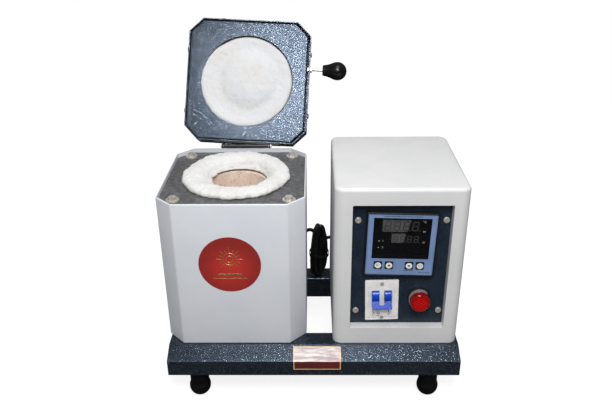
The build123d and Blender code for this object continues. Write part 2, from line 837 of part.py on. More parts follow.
with BuildPart() as handle_knob:
    knob_base = handle_seat.offset(handle_reach)
    with BuildSketch(Plane(origin=knob_base.origin, x_dir=lid.x_dir, z_dir=lid.z_dir)) as pear:
        ball_at = knob_length - knob_radius
        with BuildLine():
            Polyline((0, 0), (0, knob_neck_radius - knob_neck_edge), (knob_neck_edge, knob_neck_radius))
            Spline(
                (knob_neck_edge, knob_neck_radius),
                (0.33 * knob_length, 0.78 * knob_radius),
                (ball_at, knob_radius),
                tangents=((1, 0.15), (1, 0)),
            )
            RadiusArc((ball_at, knob_radius), (knob_length, 0), knob_radius)
            Line((knob_length, 0), (0, 0))
        make_face()
    revolve(pear.sketch, axis=Axis(knob_base.origin, lid.x_dir))
    extrude(disc(knob_base, handle_radius), amount=rod_into_knob, mode=Mode.SUBTRACT)
save(handle_knob, "handle_knob")

# ---- Hinge ----
def wall_at(x):
    # how far up the upright lid's plane the skewed pan's lower wall stands at x
    skew = math.radians(lid_skew)
    return pan_hinge / math.cos(skew) - (x - lid_x) * math.tan(skew)


with BuildPart() as hinge_body_bracket:
    leaf = block(backing(hinge_x, casing_rear_y, leaf_middle), body_leaf_length, body_leaf_height)
    extrude(leaf, amount=leaf_sheet)
    barrel = Plane(origin=(hinge_x, hinge_y, hinge_z), x_dir=(0, 1, 0), z_dir=(1, 0, 0))
    extrude(disc(barrel, barrel_radius), amount=barrel_length / 2, both=True)
    # two arms reach back, and the open lid leans on their sloping ends
    for side in (-1, 1):
        arm_x = hinge_x + side * stop_arm_x
        arm_plane = Plane(origin=(arm_x, 0, 0), x_dir=(0, 1, 0), z_dir=(1, 0, 0))
        rest = wall_at(arm_x + stop_arm_sheet / 2) - leaf_sheet - slip
        near = upright_lid.from_local_coords((0, rest, -stop_arm_near))
        far = upright_lid.from_local_coords((0, rest, -stop_arm_far))
        leaf_face = casing_rear_y + leaf_sheet
        with BuildSketch(arm_plane) as arm:
            with BuildLine():
                Polyline(
                    (leaf_face - leaf_sheet / 2, hinge_z - stop_arm_drop - 1.0),
                    (leaf_face + stop_arm_clear, hinge_z - stop_arm_drop),
                    (near.Y, near.Z),
                    (far.Y, far.Z),
                    (far.Y - stop_arm_sheet, far.Z - 2 * stop_arm_sheet),
                    (leaf_face - leaf_sheet / 2, leaf_top - body_leaf_height + stop_arm_sheet),
                    close=True,
                )
            make_face()
        extrude(arm.sketch, amount=stop_arm_sheet / 2, both=True)
    bore = disc(barrel, pin_radius + running)
    extrude(bore, amount=barrel_length / 2, both=True, mode=Mode.SUBTRACT)
    for seat in body_screw_seats:
        extrude(disc(seat, side_screw[2]), amount=-leaf_sheet, mode=Mode.SUBTRACT)
save(hinge_body_bracket, "hinge_body_bracket")

with BuildPart() as hinge_lid_bracket:
    leaf_plane = across(lid, hinge_x - lid_x, pan_hinge, -lid_leaf_below - lid_leaf_height / 2,
                        -lid.y_dir, lid.x_dir)
    with BuildSketch(leaf_plane) as leaf:
        Rectangle(lid_leaf_length, lid_leaf_height)
        chamfer(leaf.vertices(), lid_leaf_corner)
    extrude(leaf.sketch, amount=leaf_sheet)
    for side in (-1, 1):
        inner = barrel_length / 2 + ear_gap
        ear_x = hinge_x + side * (inner + ear_sheet / 2)
        ear_plane = Plane(origin=(ear_x, 0, 0), x_dir=(0, 1, 0), z_dir=(1, 0, 0))
        wall = wall_at(ear_x + ear_sheet / 2) - leaf_sheet / 2
        near = upright_lid.from_local_coords((0, wall, -lid_leaf_below))
        far = upright_lid.from_local_coords((0, wall, -lid_leaf_below - lid_leaf_height + ear_short))
        with BuildSketch(ear_plane) as ear:
            with Locations((hinge_y, hinge_z)):
                Circle(ear_radius)
            with Locations((near.Y, near.Z), (far.Y, far.Z)):
                Circle(leaf_sheet / 2)
            make_hull()
        extrude(ear.sketch, amount=ear_sheet / 2, both=True)
        bore = disc(Plane(origin=(ear_x, hinge_y, hinge_z), z_dir=(1, 0, 0)), pin_radius)
        extrude(bore, amount=ear_sheet, both=True, mode=Mode.SUBTRACT)
    for seat in leaf_seats:
        extrude(disc(seat, side_screw[2]), amount=-leaf_sheet, mode=Mode.SUBTRACT)
save(hinge_lid_bracket, "hinge_lid_bracket")

with BuildPart() as hinge_pin:
    reach = barrel_length / 2 + ear_gap + ear_sheet
    pin_line = Plane(origin=(hinge_x, hinge_y, hinge_z), z_dir=(1, 0, 0))
    extrude(disc(pin_line, pin_radius), amount=reach, both=True)
    extrude(disc(pin_line.offset(reach), 1.5 * pin_radius), amount=pin_head_height)
    extrude(disc(pin_line.offset(-reach), 1.5 * pin_radius), amount=-pin_head_height)
save(hinge_pin, "hinge_pin")

with BuildPart() as hinge_body_screws:
    for seat in body_screw_seats:
        add(pan_screw(seat, *side_screw, leaf_sheet + casing_sheet + screw_grip))
save(hinge_body_screws, "hinge_body_screws")

with BuildPart() as hinge_lid_screws:
    for seat in leaf_seats:
        add(pan_screw(seat, *side_screw, leaf_sheet + pan_sheet + pan_gap_hinge + tray_sheet))
save(hinge_lid_screws, "hinge_lid_screws")

# ---- Control box ----
panel_screws = [
    (box_x + panel_screw_right + x, deck_z + panel_screw_up + z)
    for x, z in corners(panel_screw_x, panel_screw_z)
]
opening_z = deck_z + opening_up
lip_y = panel_y + panel_sheet
rear_width = box_width - 2 * box_corner
rear_height = box_height - 2 * box_corner
rear_screw_x = (rear_width - rear_lip) / 2
rear_screw_z = (rear_height - rear_lip) / 2
box_middle_z = deck_z + box_height / 2
rear_screws = [
    (box_x + x, box_middle_z + z)
    for x in (-rear_screw_x, rear_screw_x)
    for z in (-rear_screw_z, 0.0, rear_screw_z)
]

with BuildPart() as control_case:
    add(soft_block(level(box_x, box_y, deck_z), box_width, box_depth, box_height, box_corner, box_top_radius))
    add(
        soft_block(
            level(box_x, box_y, deck_z + box_sheet),
            box_width - 2 * box_sheet,
            box_depth - 2 * box_sheet,
            box_height - 2 * box_sheet,
            box_corner - box_sheet,
            box_top_radius - box_sheet,
        ),
        mode=Mode.SUBTRACT,
    )
    # the opening's returns run back to a lip that carries the panel
    outer_return = (opening_width + 2 * box_sheet, opening_height + 2 * box_sheet)
    frame_front = facing(opening_x, box_front_y + box_sheet, opening_z)
    lip_back_y = lip_y + box_sheet
    extrude(
        block(frame_front, *outer_return, corner=opening_corner),
        amount=-(lip_back_y - box_front_y - box_sheet),
    )
    front = facing(opening_x, box_front_y, opening_z)
    extrude(
        block(front, opening_width, opening_height, corner=opening_corner),
        amount=-(lip_y - box_front_y),
        mode=Mode.SUBTRACT,
    )
    lip_hole = (opening_width - 2 * panel_lip, opening_height - 2 * panel_lip)
    extrude(
        block(facing(opening_x, lip_y, opening_z), *lip_hole),
        amount=-box_sheet,
        mode=Mode.SUBTRACT,
    )
    rear_hole = (rear_width - 2 * rear_lip, rear_height - 2 * rear_lip)
    extrude(
        block(backing(box_x, box_rear_y, box_middle_z), *rear_hole, corner=rear_corner),
        amount=-box_sheet,
        mode=Mode.SUBTRACT,
    )
    for x, z in panel_screws:
        extrude(disc(facing(x, lip_y, z), face_screw[2]), amount=-box_sheet, mode=Mode.SUBTRACT)
    through_lip = disc(switch.offset(-panel_sheet), cover_screw[2] + slip, y=-cover_screw_up)
    extrude(through_lip, amount=-box_sheet, mode=Mode.SUBTRACT)
    for x, z in rear_screws:
        extrude(disc(backing(x, box_rear_y, z), rear_screw[2]), amount=-box_sheet, mode=Mode.SUBTRACT)
    for x, y in box_bolts:
        nut = level(x, y, deck_z + box_sheet)
        extrude(hexagon(nut, bolt_head_radius), amount=weld_nut_height)
        hole = disc(level(x, y, deck_z), housing_bolt_radius)
        extrude(hole, amount=box_sheet + weld_nut_height, mode=Mode.SUBTRACT)
save(control_case, "control_case")

with BuildPart() as rear_panel:
    outside = backing(box_x, box_rear_y, box_middle_z)
    extrude(block(outside, rear_width, rear_height, corner=rear_corner), amount=rear_panel_sheet)
    with BuildSketch(outside.offset(rear_panel_sheet)) as vents:
        with Locations((0, vent_up)):
            with GridLocations(*vent_spacing, *vent_count):
                SlotOverall(*vent_size)
    extrude(vents.sketch, amount=-rear_panel_sheet, mode=Mode.SUBTRACT)
    for x, z in rear_screws:
        hole = disc(backing(x, box_rear_y, z), rear_screw[2])
        extrude(hole, amount=rear_panel_sheet, mode=Mode.SUBTRACT)
    gland_hole = disc(backing(gland_x, box_rear_y, deck_z + gland_up), gland_thread_radius)
    extrude(gland_hole, amount=rear_panel_sheet, mode=Mode.SUBTRACT)
save(rear_panel, "rear_panel")

with BuildPart() as rear_panel_screws:
    for x, z in rear_screws:
        shank = rear_panel_sheet + box_sheet + screw_grip
        add(pan_screw(backing(x, rear_plate_y, z), *rear_screw, shank))
save(rear_panel_screws, "rear_panel_screws")

with BuildPart() as front_panel:
    plate = block(
        facing(opening_x, panel_y, opening_z),
        opening_width - 2 * drop_in,
        opening_height - 2 * drop_in,
        corner=opening_corner - drop_in,
    )
    extrude(plate, amount=-panel_sheet)
    for x, z in panel_screws:
        extrude(disc(facing(x, panel_y, z), face_screw[2]), amount=-panel_sheet, mode=Mode.SUBTRACT)
    cutouts = (
        block(meter, meter_body, meter_body),
        block(switch, nose_width, nose_height),
        disc(lamp, lamp_thread_radius),
    )
    for cutout in cutouts:
        extrude(cutout, amount=-panel_sheet, mode=Mode.SUBTRACT)
    for z in (-cover_screw_up, cover_screw_up):
        extrude(disc(switch, cover_screw[2], y=z), amount=-panel_sheet, mode=Mode.SUBTRACT)
save(front_panel, "front_panel")

with BuildPart() as front_panel_screws:
    for x, z in panel_screws:
        add(pan_screw(facing(x, panel_y, z), *face_screw, panel_sheet + box_sheet + screw_grip))
save(front_panel_screws, "front_panel_screws")

film_back = bezel_depth - film_recess
film_front = film_back + film_sheet
meter_sink = meter.offset(film_back)
keys = [(x, -key_down) for x in key_across]
pocket_size = key_size + 2 * key_flange + 2 * slip

with BuildPart() as controller_case:
    extrude(block(meter, meter_size, meter_size, corner=bezel_corner), amount=bezel_depth)
    outward = Axis(meter.origin, meter.z_dir)
    fillet(controller_case.faces().sort_by(outward)[-1].edges(), bezel_edge)
    extrude(block(meter, meter_body, meter_body), amount=-meter_body_depth)
    recess = block(meter_sink, film_size + slip, film_size + slip, corner=film_corner + slip / 2)
    extrude(recess, amount=film_recess, mode=Mode.SUBTRACT)
    pocket = block(meter_sink, window_width, window_height, y=window_up)
    extrude(pocket, amount=-window_pocket, mode=Mode.SUBTRACT)
    for x, y in keys:
        well = block(meter_sink, pocket_size, pocket_size, x, y)
        extrude(well, amount=-key_pocket, mode=Mode.SUBTRACT)
save(controller_case, "controller_case")

with BuildPart() as controller_film:
    extrude(block(meter_sink, film_size, film_size, corner=film_corner), amount=film_sheet)
    opening = block(meter_sink, window_width, window_height, y=window_up)
    extrude(opening, amount=film_sheet, mode=Mode.SUBTRACT)
    for x, y in keys:
        hole = block(meter_sink, key_size + 2 * slip, key_size + 2 * slip, x, y, key_corner + slip)
        extrude(hole, amount=film_sheet, mode=Mode.SUBTRACT)
save(controller_film, "controller_film")

with BuildPart() as display_window:
    pane = block(meter.offset(film_front), window_width, window_height, y=window_up)
    extrude(pane, amount=-window_sheet)
save(display_window, "display_window")

with BuildPart() as display_modules:
    for width, height, right, up in (upper_module, lower_module):
        module = block(meter.offset(film_back - window_pocket), width, height, right, up)
        extrude(module, amount=module_depth)
save(display_modules, "display_modules")

for name, (x, y) in zip(key_names, keys):
    with BuildPart() as key:
        cap = block(meter.offset(film_front + key_proud), key_size, key_size, x, y, key_corner)
        extrude(cap, amount=-key_proud - film_sheet - key_stem)
        fillet(key.faces().sort_by(outward)[-1].edges(), key_edge)
        flange_size = key_size + 2 * key_flange
        flange = block(meter.offset(film_back - slip), flange_size, flange_size, x, y)
        extrude(flange, amount=-key_flange_sheet)
    save(key, name)

with BuildPart() as controller_clamps:
    for side in (-1, 1):
        clamp_x = side * (meter_body / 2 + clamp_width / 2)
        clamp = block(meter.offset(-panel_sheet), clamp_width, clamp_height, x=clamp_x)
        extrude(clamp, amount=-clamp_depth)
save(controller_clamps, "controller_clamps")

# the breaker's nose comes through the panel and its cover
lever_pivot = switch.from_local_coords((0, lever_up, cover_sheet - lever_sink))
lever_axis = Plane(origin=lever_pivot, x_dir=switch.y_dir, z_dir=switch.x_dir)
droop = math.radians(lever_droop)
lever_way = switch.z_dir * math.cos(droop) - switch.y_dir * math.sin(droop)
lever = Plane(origin=lever_pivot, x_dir=switch.x_dir, z_dir=lever_way)
poles = (-lever_spread / 2, lever_spread / 2)
shoulder = panel_sheet + box_sheet + slip

with BuildPart() as breaker_body:
    nose = block(switch.offset(cover_sheet), nose_width, nose_height)
    extrude(nose, amount=-cover_sheet - shoulder)
    extrude(block(switch.offset(-shoulder), nose_width, breaker_height), amount=-breaker_depth)
    for x in poles:
        drum = disc(lever_axis.offset(x), lever_drum_radius + slip)
        extrude(drum, amount=lever_width / 2 + slip, both=True, mode=Mode.SUBTRACT)
    bore = disc(lever_axis, lever_shaft_radius + running)
    extrude(bore, amount=lever_shaft_length / 2 + slip, both=True, mode=Mode.SUBTRACT)
    for z in (-cover_screw_up, cover_screw_up):
        thread = disc(switch.offset(-shoulder), cover_screw[2], y=z)
        extrude(thread, amount=-cover_screw_thread, mode=Mode.SUBTRACT)
save(breaker_body, "breaker_body")

with BuildPart() as breaker_cover:
    extrude(block(switch, cover_width, cover_height, corner=cover_corner), amount=cover_sheet)
    outward = Axis(switch.origin, switch.z_dir)
    fillet(breaker_cover.faces().sort_by(outward)[-1].edges(), cover_edge)
    extrude(block(switch, nose_width, nose_height), amount=cover_sheet, mode=Mode.SUBTRACT)
    for z in (-cover_screw_up, cover_screw_up):
        extrude(disc(switch, cover_screw[2], y=z), amount=cover_sheet, mode=Mode.SUBTRACT)
save(breaker_cover, "breaker_cover")

with BuildPart() as breaker_toggle:
    for x in poles:
        extrude(disc(lever_axis.offset(x), lever_drum_radius), amount=lever_width / 2, both=True)
        extrude(block(lever, lever_width, lever_thick, x=x), amount=lever_length)
    extrude(block(lever.offset(lever_length - bar_length), bar_width, bar_height), amount=bar_length)
    extrude(disc(lever_axis, lever_shaft_radius), amount=lever_shaft_length / 2, both=True)
save(breaker_toggle, "breaker_toggle")

with BuildPart() as breaker_screws:
    for z in (-cover_screw_up, cover_screw_up):
        seat = across(switch, 0, z, cover_sheet, switch.z_dir, switch.x_dir)
        add(pan_screw(seat, *cover_screw, cover_sheet + shoulder + cover_screw_thread))
save(breaker_screws, "breaker_screws")

with BuildPart() as lamp_body:
    extrude(disc(lamp, lamp_base_radius), amount=lamp_base_height)
    extrude(disc(lamp.offset(lamp_base_height), lamp_collar_radius), amount=lamp_collar_height)
    extrude(disc(lamp, lamp_thread_radius), amount=-lamp_thread_length)
    socket = disc(lamp.offset(lamp_base_height), lens_radius)
    extrude(socket, amount=lamp_collar_height, mode=Mode.SUBTRACT)
save(lamp_body, "lamp_body")

with BuildPart() as lamp_lens:
    extrude(disc(lamp.offset(lamp_base_height), lens_radius), amount=lens_proud - lamp_base_height)
    fillet(lamp_lens.faces().sort_by(Axis.Y)[0].edges(), lens_edge)
save(lamp_lens, "lamp_lens")

with BuildPart() as lamp_nut:
    extrude(hexagon(lamp.offset(-panel_sheet), lamp_nut_radius), amount=-lamp_nut_height)
    extrude(disc(lamp.offset(-panel_sheet), lamp_thread_radius), amount=-lamp_nut_height, mode=Mode.SUBTRACT)
save(lamp_nut, "lamp_nut")

with BuildPart() as solid_state_relay:
    relay = block(backing(box_x, box_rear_y, deck_z + relay_up), relay_width, relay_height)
    extrude(relay, amount=-relay_depth)
save(solid_state_relay, "solid_state_relay")

# ---- Mains lead: out of the box's back, bundled between the housings, then down to the floor ----
gland_end_y = rear_plate_y + gland_flange + gland_nose

with BuildPart() as cord_gland:
    outside = backing(gland_x, rear_plate_y, deck_z + gland_up)
    extrude(hexagon(outside, gland_radius), amount=gland_flange)
    with BuildSketch(outside.offset(gland_flange)):
        Circle(gland_dome_radius)
    with BuildSketch(outside.offset(gland_flange + gland_nose)):
        Circle(gland_tip_radius)
    loft()
    through = rear_panel_sheet + gland_flange
    extrude(disc(outside, gland_thread_radius), amount=-through)
    extrude(hexagon(outside.offset(-through), gland_radius), amount=gland_flange)
save(cord_gland, "cord_gland")

hank_back_y = base_rear_y - rail_slope_run
lead_end = (gap_x + 2.0, hank_back_y, deck_z + 46.0)
tail_start = (gap_x - 6.0, hank_back_y, deck_z + 64.0)

with BuildPart() as cord_hank:
    bundle = Plane(origin=(gap_x, hank_back_y, deck_z), x_dir=(1, 0, 0), z_dir=(0, -1, 0))
    with BuildSketch(bundle) as outline:
        with BuildLine():
            Polyline(
                (-hank_foot / 2, slip),
                (hank_foot / 2, slip),
                (hank_foot / 2, 0.23 * hank_height),
                (hank_right, 0.38 * hank_height),
                (hank_right, 0.88 * hank_height),
                (0.6 * hank_right, hank_height),
                (0.0, hank_height),
                (-0.75 * hank_left, 0.88 * hank_height),
                (-hank_left, 0.77 * hank_height),
                (-hank_left, 0.37 * hank_height),
                (-hank_foot / 2, 0.21 * hank_height),
                close=True,
            )
        make_face()
        fillet(outline.vertices(), hank_corner)
    extrude(outline.sketch, amount=hank_depth)
save(cord_hank, "cord_hank")


def cord_tube(name, points):
    # straight runs joined by arcs as large as the runs allow
    corners_at = [Vector(*p) for p in points]
    radii = []
    for before, here, after in zip(corners_at, corners_at[1:], corners_at[2:]):
        into, out = here - before, after - here
        turn = math.radians(into.get_angle(out))
        radii.append(0.45 * min(into.length, out.length) / math.tan(turn / 2))
    with BuildPart() as tube:
        with BuildLine() as route:
            FilletPolyline(*points, radius=radii)
        with BuildSketch(Plane(origin=route.line @ 0, z_dir=route.line % 0)) as section:
            Circle(cord_radius)
        sweep(section.sketch, path=route.line)
    length = sum(edge.length for edge in route.edges())
    ratio = tube.part.volume / (math.pi * cord_radius**2 * length)
    print(name, "length", round(length, 1), "volume ratio", round(ratio, 4))
    print(name, "arc radii", [round(r, 1) for r in radii])
    save(tube, name)


cord_tube(
    "cord_lead",
    [
        (gland_x, gland_end_y, deck_z + gland_up),
        (gland_x, 90.0, deck_z + gland_up),
        (73.0, 108.0, 113.0),
        (52.0, 115.0, 110.5),
        (30.0, 110.0, 112.0),
        (15.0, 92.0, 118.0),
        (lead_end[0], 69.0, lead_end[2]),
        lead_end,
    ],
)

plug_nose = (-142.0, 110.0, 12.0)
cord_tube(
    "cord_tail",
    [
        tail_start,
        (tail_start[0], 66.0, tail_start[2]),
        (-7.0, 83.0, 143.0),
        (-20.0, 97.0, 124.0),
        (-33.0, 106.0, 98.0),
        (-43.0, 110.0, 69.0),
        (-52.0, 111.0, 41.0),
        (-63.0, 110.5, 18.0),
        (-81.0, 110.0, 5.2),
        (-102.0, 110.0, 4.4),
        (-122.0, 110.0, 12.0),
        plug_nose,
    ],
)

with BuildPart() as plug_body:
    nose = Plane(origin=plug_nose, x_dir=(0, 1, 0), z_dir=(-1, 0, 0))
    with BuildSketch(nose):
        Circle(plug_neck_radius)
    with BuildSketch(nose.offset(plug_relief)):
        Circle(plug_root_radius)
    loft()
    shell = block(nose.offset(plug_relief), plug_width, plug_height, corner=plug_corner)
    extrude(shell, amount=plug_length)
    fillet(plug_body.faces().filter_by(Axis.X).sort_by(Axis.X)[0].edges(), plug_edge)
save(plug_body, "plug_body")

with BuildPart() as plug_pins:
    tip = nose.offset(plug_relief + plug_length)
    for x, y in plug_pin_places:
        extrude(disc(tip, plug_pin_radius, x, y), amount=plug_pin_length)
save(plug_pins, "plug_pins")
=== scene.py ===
import math
import random

import bpy
from mathutils import Matrix, Vector, noise


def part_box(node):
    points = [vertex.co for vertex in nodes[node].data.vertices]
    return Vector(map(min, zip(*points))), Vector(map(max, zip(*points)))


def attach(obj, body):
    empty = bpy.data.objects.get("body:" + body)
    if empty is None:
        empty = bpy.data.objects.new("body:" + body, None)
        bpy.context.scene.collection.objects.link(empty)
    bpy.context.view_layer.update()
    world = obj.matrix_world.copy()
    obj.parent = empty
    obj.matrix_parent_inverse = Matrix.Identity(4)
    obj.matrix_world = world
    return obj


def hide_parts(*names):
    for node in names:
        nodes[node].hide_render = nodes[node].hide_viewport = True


# An electric melting furnace: its hinged lid stands open, and the control box is bolted beside it.
# Metres, +Z up, the front towards -Y. Sizes in the dictionaries are millimetres.

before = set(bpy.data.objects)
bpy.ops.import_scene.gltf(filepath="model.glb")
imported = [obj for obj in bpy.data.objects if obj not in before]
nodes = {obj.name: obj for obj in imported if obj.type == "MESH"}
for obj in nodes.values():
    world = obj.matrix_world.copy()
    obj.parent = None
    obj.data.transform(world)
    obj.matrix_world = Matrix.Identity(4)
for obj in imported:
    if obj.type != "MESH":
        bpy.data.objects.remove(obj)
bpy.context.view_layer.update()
mm = 0.001
random.seed(11)
print("frame loaded,", len(nodes), "nodes")

# the photograph's view
cameraLook = {
    "place": (-0.00053, -0.92406, 0.67702),
    "pitch": 25.75,  # degrees below level
    "yaw": 0.65,
    "roll": -0.42,
    "lens": 38.805,
    "sensor": 36.0,
    "shiftUp": -0.00087,
}


def makeCamera(look):
    bpy.ops.object.camera_add(location=look["place"])
    camera = bpy.context.object
    turn = Matrix.Rotation(math.radians(look["yaw"]), 3, "Z")
    tip = Matrix.Rotation(math.radians(90 - look["pitch"]), 3, "X")
    roll = Matrix.Rotation(math.radians(look["roll"]), 3, "Z")
    camera.rotation_euler = (turn @ tip @ roll).to_euler()
    camera.data.sensor_width = look["sensor"]
    camera.data.lens = look["lens"]
    camera.data.shift_y = look["shiftUp"]
    bpy.context.scene.camera = camera


makeCamera(cameraLook)
bpy.context.scene.view_settings.view_transform = "Standard"

# the mains lead: out of the box's back, six turns hanging between the housings, then down to the plug
leadLook = {
    "diameter": 6.0,
    "toHank": [
        (84.0, 71.0, 116.4), (84.0, 90.0, 116.4), (73.0, 108.0, 113.0), (52.0, 115.0, 110.5),
        (30.0, 110.0, 112.0), (15.0, 92.0, 118.0), (10.9, 69.0, 128.4), (10.9, 47.4, 128.4),
    ],
    "intoHank": [(10.9, 38.0, 128.6), (12.0, 29.0, 131.0), (16.0, 23.4, 140.0)],
    # each turn: left and right strand at the top, the same at the foot, then depth and top
    "turns": [
        (6.0, 19.2, 1.0, 22.5, 22.8, 180.6), (0.8, 13.4, -5.8, 11.0, 27.2, 171.5), (8.6, 20.6, 4.0, 24.0, 31.4, 170.0),
        (0.0, 15.4, -5.5, 16.0, 35.7, 172.3), (6.0, 18.6, 2.5, 20.5, 40.0, 169.2), (2.6, 13.2, -2.5, 9.0, 44.4, 171.0),
    ],
    "pointsPerTurn": 12,
    "foot": 86.0,
    "stray": 0.5,
    "outOfHank": [(2.9, 44.8, 158.0), (2.9, 45.4, 151.0)],
    "toPlug": [
        (2.9, 47.4, 146.4), (2.9, 66.0, 146.4), (-7.0, 83.0, 143.0), (-20.0, 97.0, 124.0),
        (-33.0, 106.0, 98.0), (-43.0, 110.0, 69.0), (-52.0, 111.0, 41.0), (-63.0, 110.5, 18.0),
        (-81.0, 110.0, 5.2), (-102.0, 110.0, 4.4), (-122.0, 110.0, 12.0), (-142.0, 110.0, 12.0),
    ],
    "length": 1.50,
}


def hankPoints(look):
    # turn after turn, up on the right, over the top to the left and down again
    points = []
    turns = look["turns"]
    perTurn = look["pointsPerTurn"]
    lastStep = perTurn * len(turns) - 8  # the tail leaves the last turn on its way down
    for step in range(1, lastStep + 1):
        index, share = divmod(step / perTurn, 1)
        shape = turns[int(index)]
        blend = max(0.0, (share - 0.67) / 0.33)  # changes over to the next turn along the foot
        if blend > 0 and index + 1 < len(turns):
            shape = [a + (b - a) * blend for a, b in zip(shape, turns[int(index) + 1])]
        topLeft, topRight, footLeft, footRight, depth, top = shape
        angle = math.tau * share
        rise = math.copysign(abs(math.sin(angle)) ** 0.62, math.sin(angle))
        height = (1 + rise) / 2
        left = footLeft + (topLeft - footLeft) * min(1.0, 1.5 * height)
        right = footRight + (topRight - footRight) * min(1.0, 1.5 * height)
        x = (left + right) / 2 + math.cos(angle) * (right - left) / 2
        z = look["foot"] + (top - look["foot"]) * height
        points.append((x + random.uniform(-1, 1) * look["stray"], depth, z + random.uniform(-1, 1) * look["stray"]))
    return points


def makeLead(look):
    points = look["toHank"] + look["intoHank"] + hankPoints(look) + look["outOfHank"] + look["toPlug"]
    curve = bpy.data.curves.new("mainsLead", "CURVE")
    curve.dimensions = "3D"
    curve.bevel_depth = 1.0  # times each point's radius
    curve.bevel_resolution = 5
    curve.resolution_u = 8
    curve.use_fill_caps = True
    spline = curve.splines.new("NURBS")
    spline.points.add(len(points) - 1)
    for point, place in zip(spline.points, points):
        point.co = (*[value * mm for value in place], 1)
        point.radius = look["diameter"] / 2 * mm
    spline.order_u = 3
    spline.use_endpoint_u = True
    lead = bpy.data.objects.new("mainsLead", curve)
    bpy.context.scene.collection.objects.link(lead)
    return lead


mainsLead = makeLead(leadLook)
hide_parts("cord_lead", "cord_hank", "cord_tail")
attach(mainsLead, "base")
print("camera and lead made")


# planes that pieces stand on: local X across, Y up the face, Z out of it
def planeAt(x, y, z, lean=0.0, turn=0.0):
    tip = Matrix.Rotation(math.radians(90 - lean), 4, "X")
    return Matrix.Translation((x, y, z)) @ tip @ Matrix.Rotation(math.radians(turn), 4, "Z")


def middleOf(node):
    low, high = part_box(node)
    return (low + high) / 2


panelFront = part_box("front_panel")[0].y
meterMiddle = middleOf("controller_case")
switchMiddle = middleOf("breaker_cover")
lampMiddle = middleOf("lamp_lens")
badgeMiddle = middleOf("badge")
mouthMiddle = middleOf("mouth_ring")
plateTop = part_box("top_plate")[1].z

meterPlane = planeAt(meterMiddle.x, panelFront, meterMiddle.z, turn=-1.5)
switchPlane = planeAt(switchMiddle.x, panelFront, switchMiddle.z, turn=1.7)
lampPlane = planeAt(lampMiddle.x, panelFront, lampMiddle.z)
badgePlane = planeAt(badgeMiddle.x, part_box("badge")[0].y, badgeMiddle.z)
mouthPlane = Matrix.Translation((mouthMiddle.x, mouthMiddle.y, plateTop))
lidPlane = planeAt(-0.1095, 0.05847, 0.31407, lean=27.6, turn=-3.1)
padPlane = lidPlane @ Matrix.Translation((0, 0.095, 0))


def onlySelect(*chosen):
    bpy.ops.object.select_all(action="DESELECT")
    for piece in chosen:
        piece.select_set(True)
    bpy.context.view_layer.objects.active = chosen[0]


def editAll(piece):
    onlySelect(piece)
    bpy.ops.object.mode_set(mode="EDIT")
    bpy.ops.mesh.select_all(action="SELECT")


def endEdit():
    bpy.ops.object.mode_set(mode="OBJECT")


def putOn(piece, plane):
    # fixes the piece's place on a plane into its mesh
    piece.matrix_world = plane @ piece.matrix_world
    onlySelect(piece)
    bpy.ops.object.transform_apply(location=True, rotation=True, scale=True)


def applyModifier(piece, kind, **settings):
    onlySelect(piece)
    modifier = piece.modifiers.new(kind.lower(), kind)
    for name, value in settings.items():
        setattr(modifier, name, value)
    bpy.ops.object.modifier_apply(modifier=modifier.name)


def joined(name, parts):
    onlySelect(*parts)
    if len(parts) > 1:
        bpy.ops.object.join()
    piece = bpy.context.object
    piece.name = name
    return piece


def rideOn(piece, body, slotName, *replaced):
    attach(piece, body)
    if replaced:
        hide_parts(*replaced)


def spun(name, outline, steps):
    # a closed outline of (radius, height) points, turned about the local Z axis
    bpy.ops.mesh.primitive_circle_add(vertices=len(outline), radius=0.01)
    piece = bpy.context.object
    piece.name = name
    for vertex, (radius, height) in zip(piece.data.vertices, outline):
        vertex.co = (radius * mm, 0, height * mm)
    editAll(piece)
    bpy.ops.mesh.spin(steps=steps, angle=math.tau, center=(0, 0, 0), axis=(0, 0, 1))
    bpy.ops.mesh.select_all(action="SELECT")
    bpy.ops.mesh.remove_doubles(threshold=1e-6)
    bpy.ops.mesh.dissolve_degenerate(threshold=1e-7)
    bpy.ops.mesh.select_all(action="SELECT")
    bpy.ops.mesh.normals_make_consistent(inside=False)
    endEdit()
    return piece


def smoothed(piece, degrees=35):
    onlySelect(piece)
    bpy.ops.object.shade_smooth_by_angle(angle=math.radians(degrees))


def stroke(x1, y1, x2, y2, width, height=0.1, lift=0.0):
    # a thin raised line between two points of a plane, with its long edges rounded
    length = math.hypot(x2 - x1, y2 - y1)
    bpy.ops.mesh.primitive_cube_add(size=1)
    line = bpy.context.object
    line.scale = ((length + width) * mm, width * mm, height * mm)
    line.rotation_euler = (0, 0, math.atan2(y2 - y1, x2 - x1))
    line.location = ((x1 + x2) / 2 * mm, (y1 + y2) / 2 * mm, (lift + height / 2) * mm)
    bpy.ops.object.transform_apply(location=True, rotation=True, scale=True)
    applyModifier(line, "BEVEL", width=0.3 * min(width, height) * mm, segments=1)
    return line


def raisedDisc(x, y, radius, height, lift=0.0, vertices=32):
    bpy.ops.mesh.primitive_cylinder_add(vertices=vertices, radius=radius * mm, depth=height * mm)
    disc = bpy.context.object
    disc.location = (x * mm, y * mm, (lift + height / 2) * mm)
    bpy.ops.object.transform_apply(location=True, rotation=True, scale=True)
    applyModifier(disc, "BEVEL", width=0.3 * height * mm, segments=1, angle_limit=math.radians(60))
    return disc


def word(text, x, y, size, lift, height=0.06):
    bpy.ops.object.text_add()
    letters = bpy.context.object
    letters.data.body = text
    letters.data.size = size * mm
    letters.data.align_x = "CENTER"
    letters.data.align_y = "CENTER"
    letters.data.extrude = height / 2 * mm
    letters.data.resolution_u = 3
    onlySelect(letters)
    bpy.ops.object.convert(target="MESH")
    letters = bpy.context.object
    letters.location = (x * mm, y * mm, (lift + height / 2) * mm)
    bpy.ops.object.transform_apply(location=True, rotation=True, scale=True)
    return letters


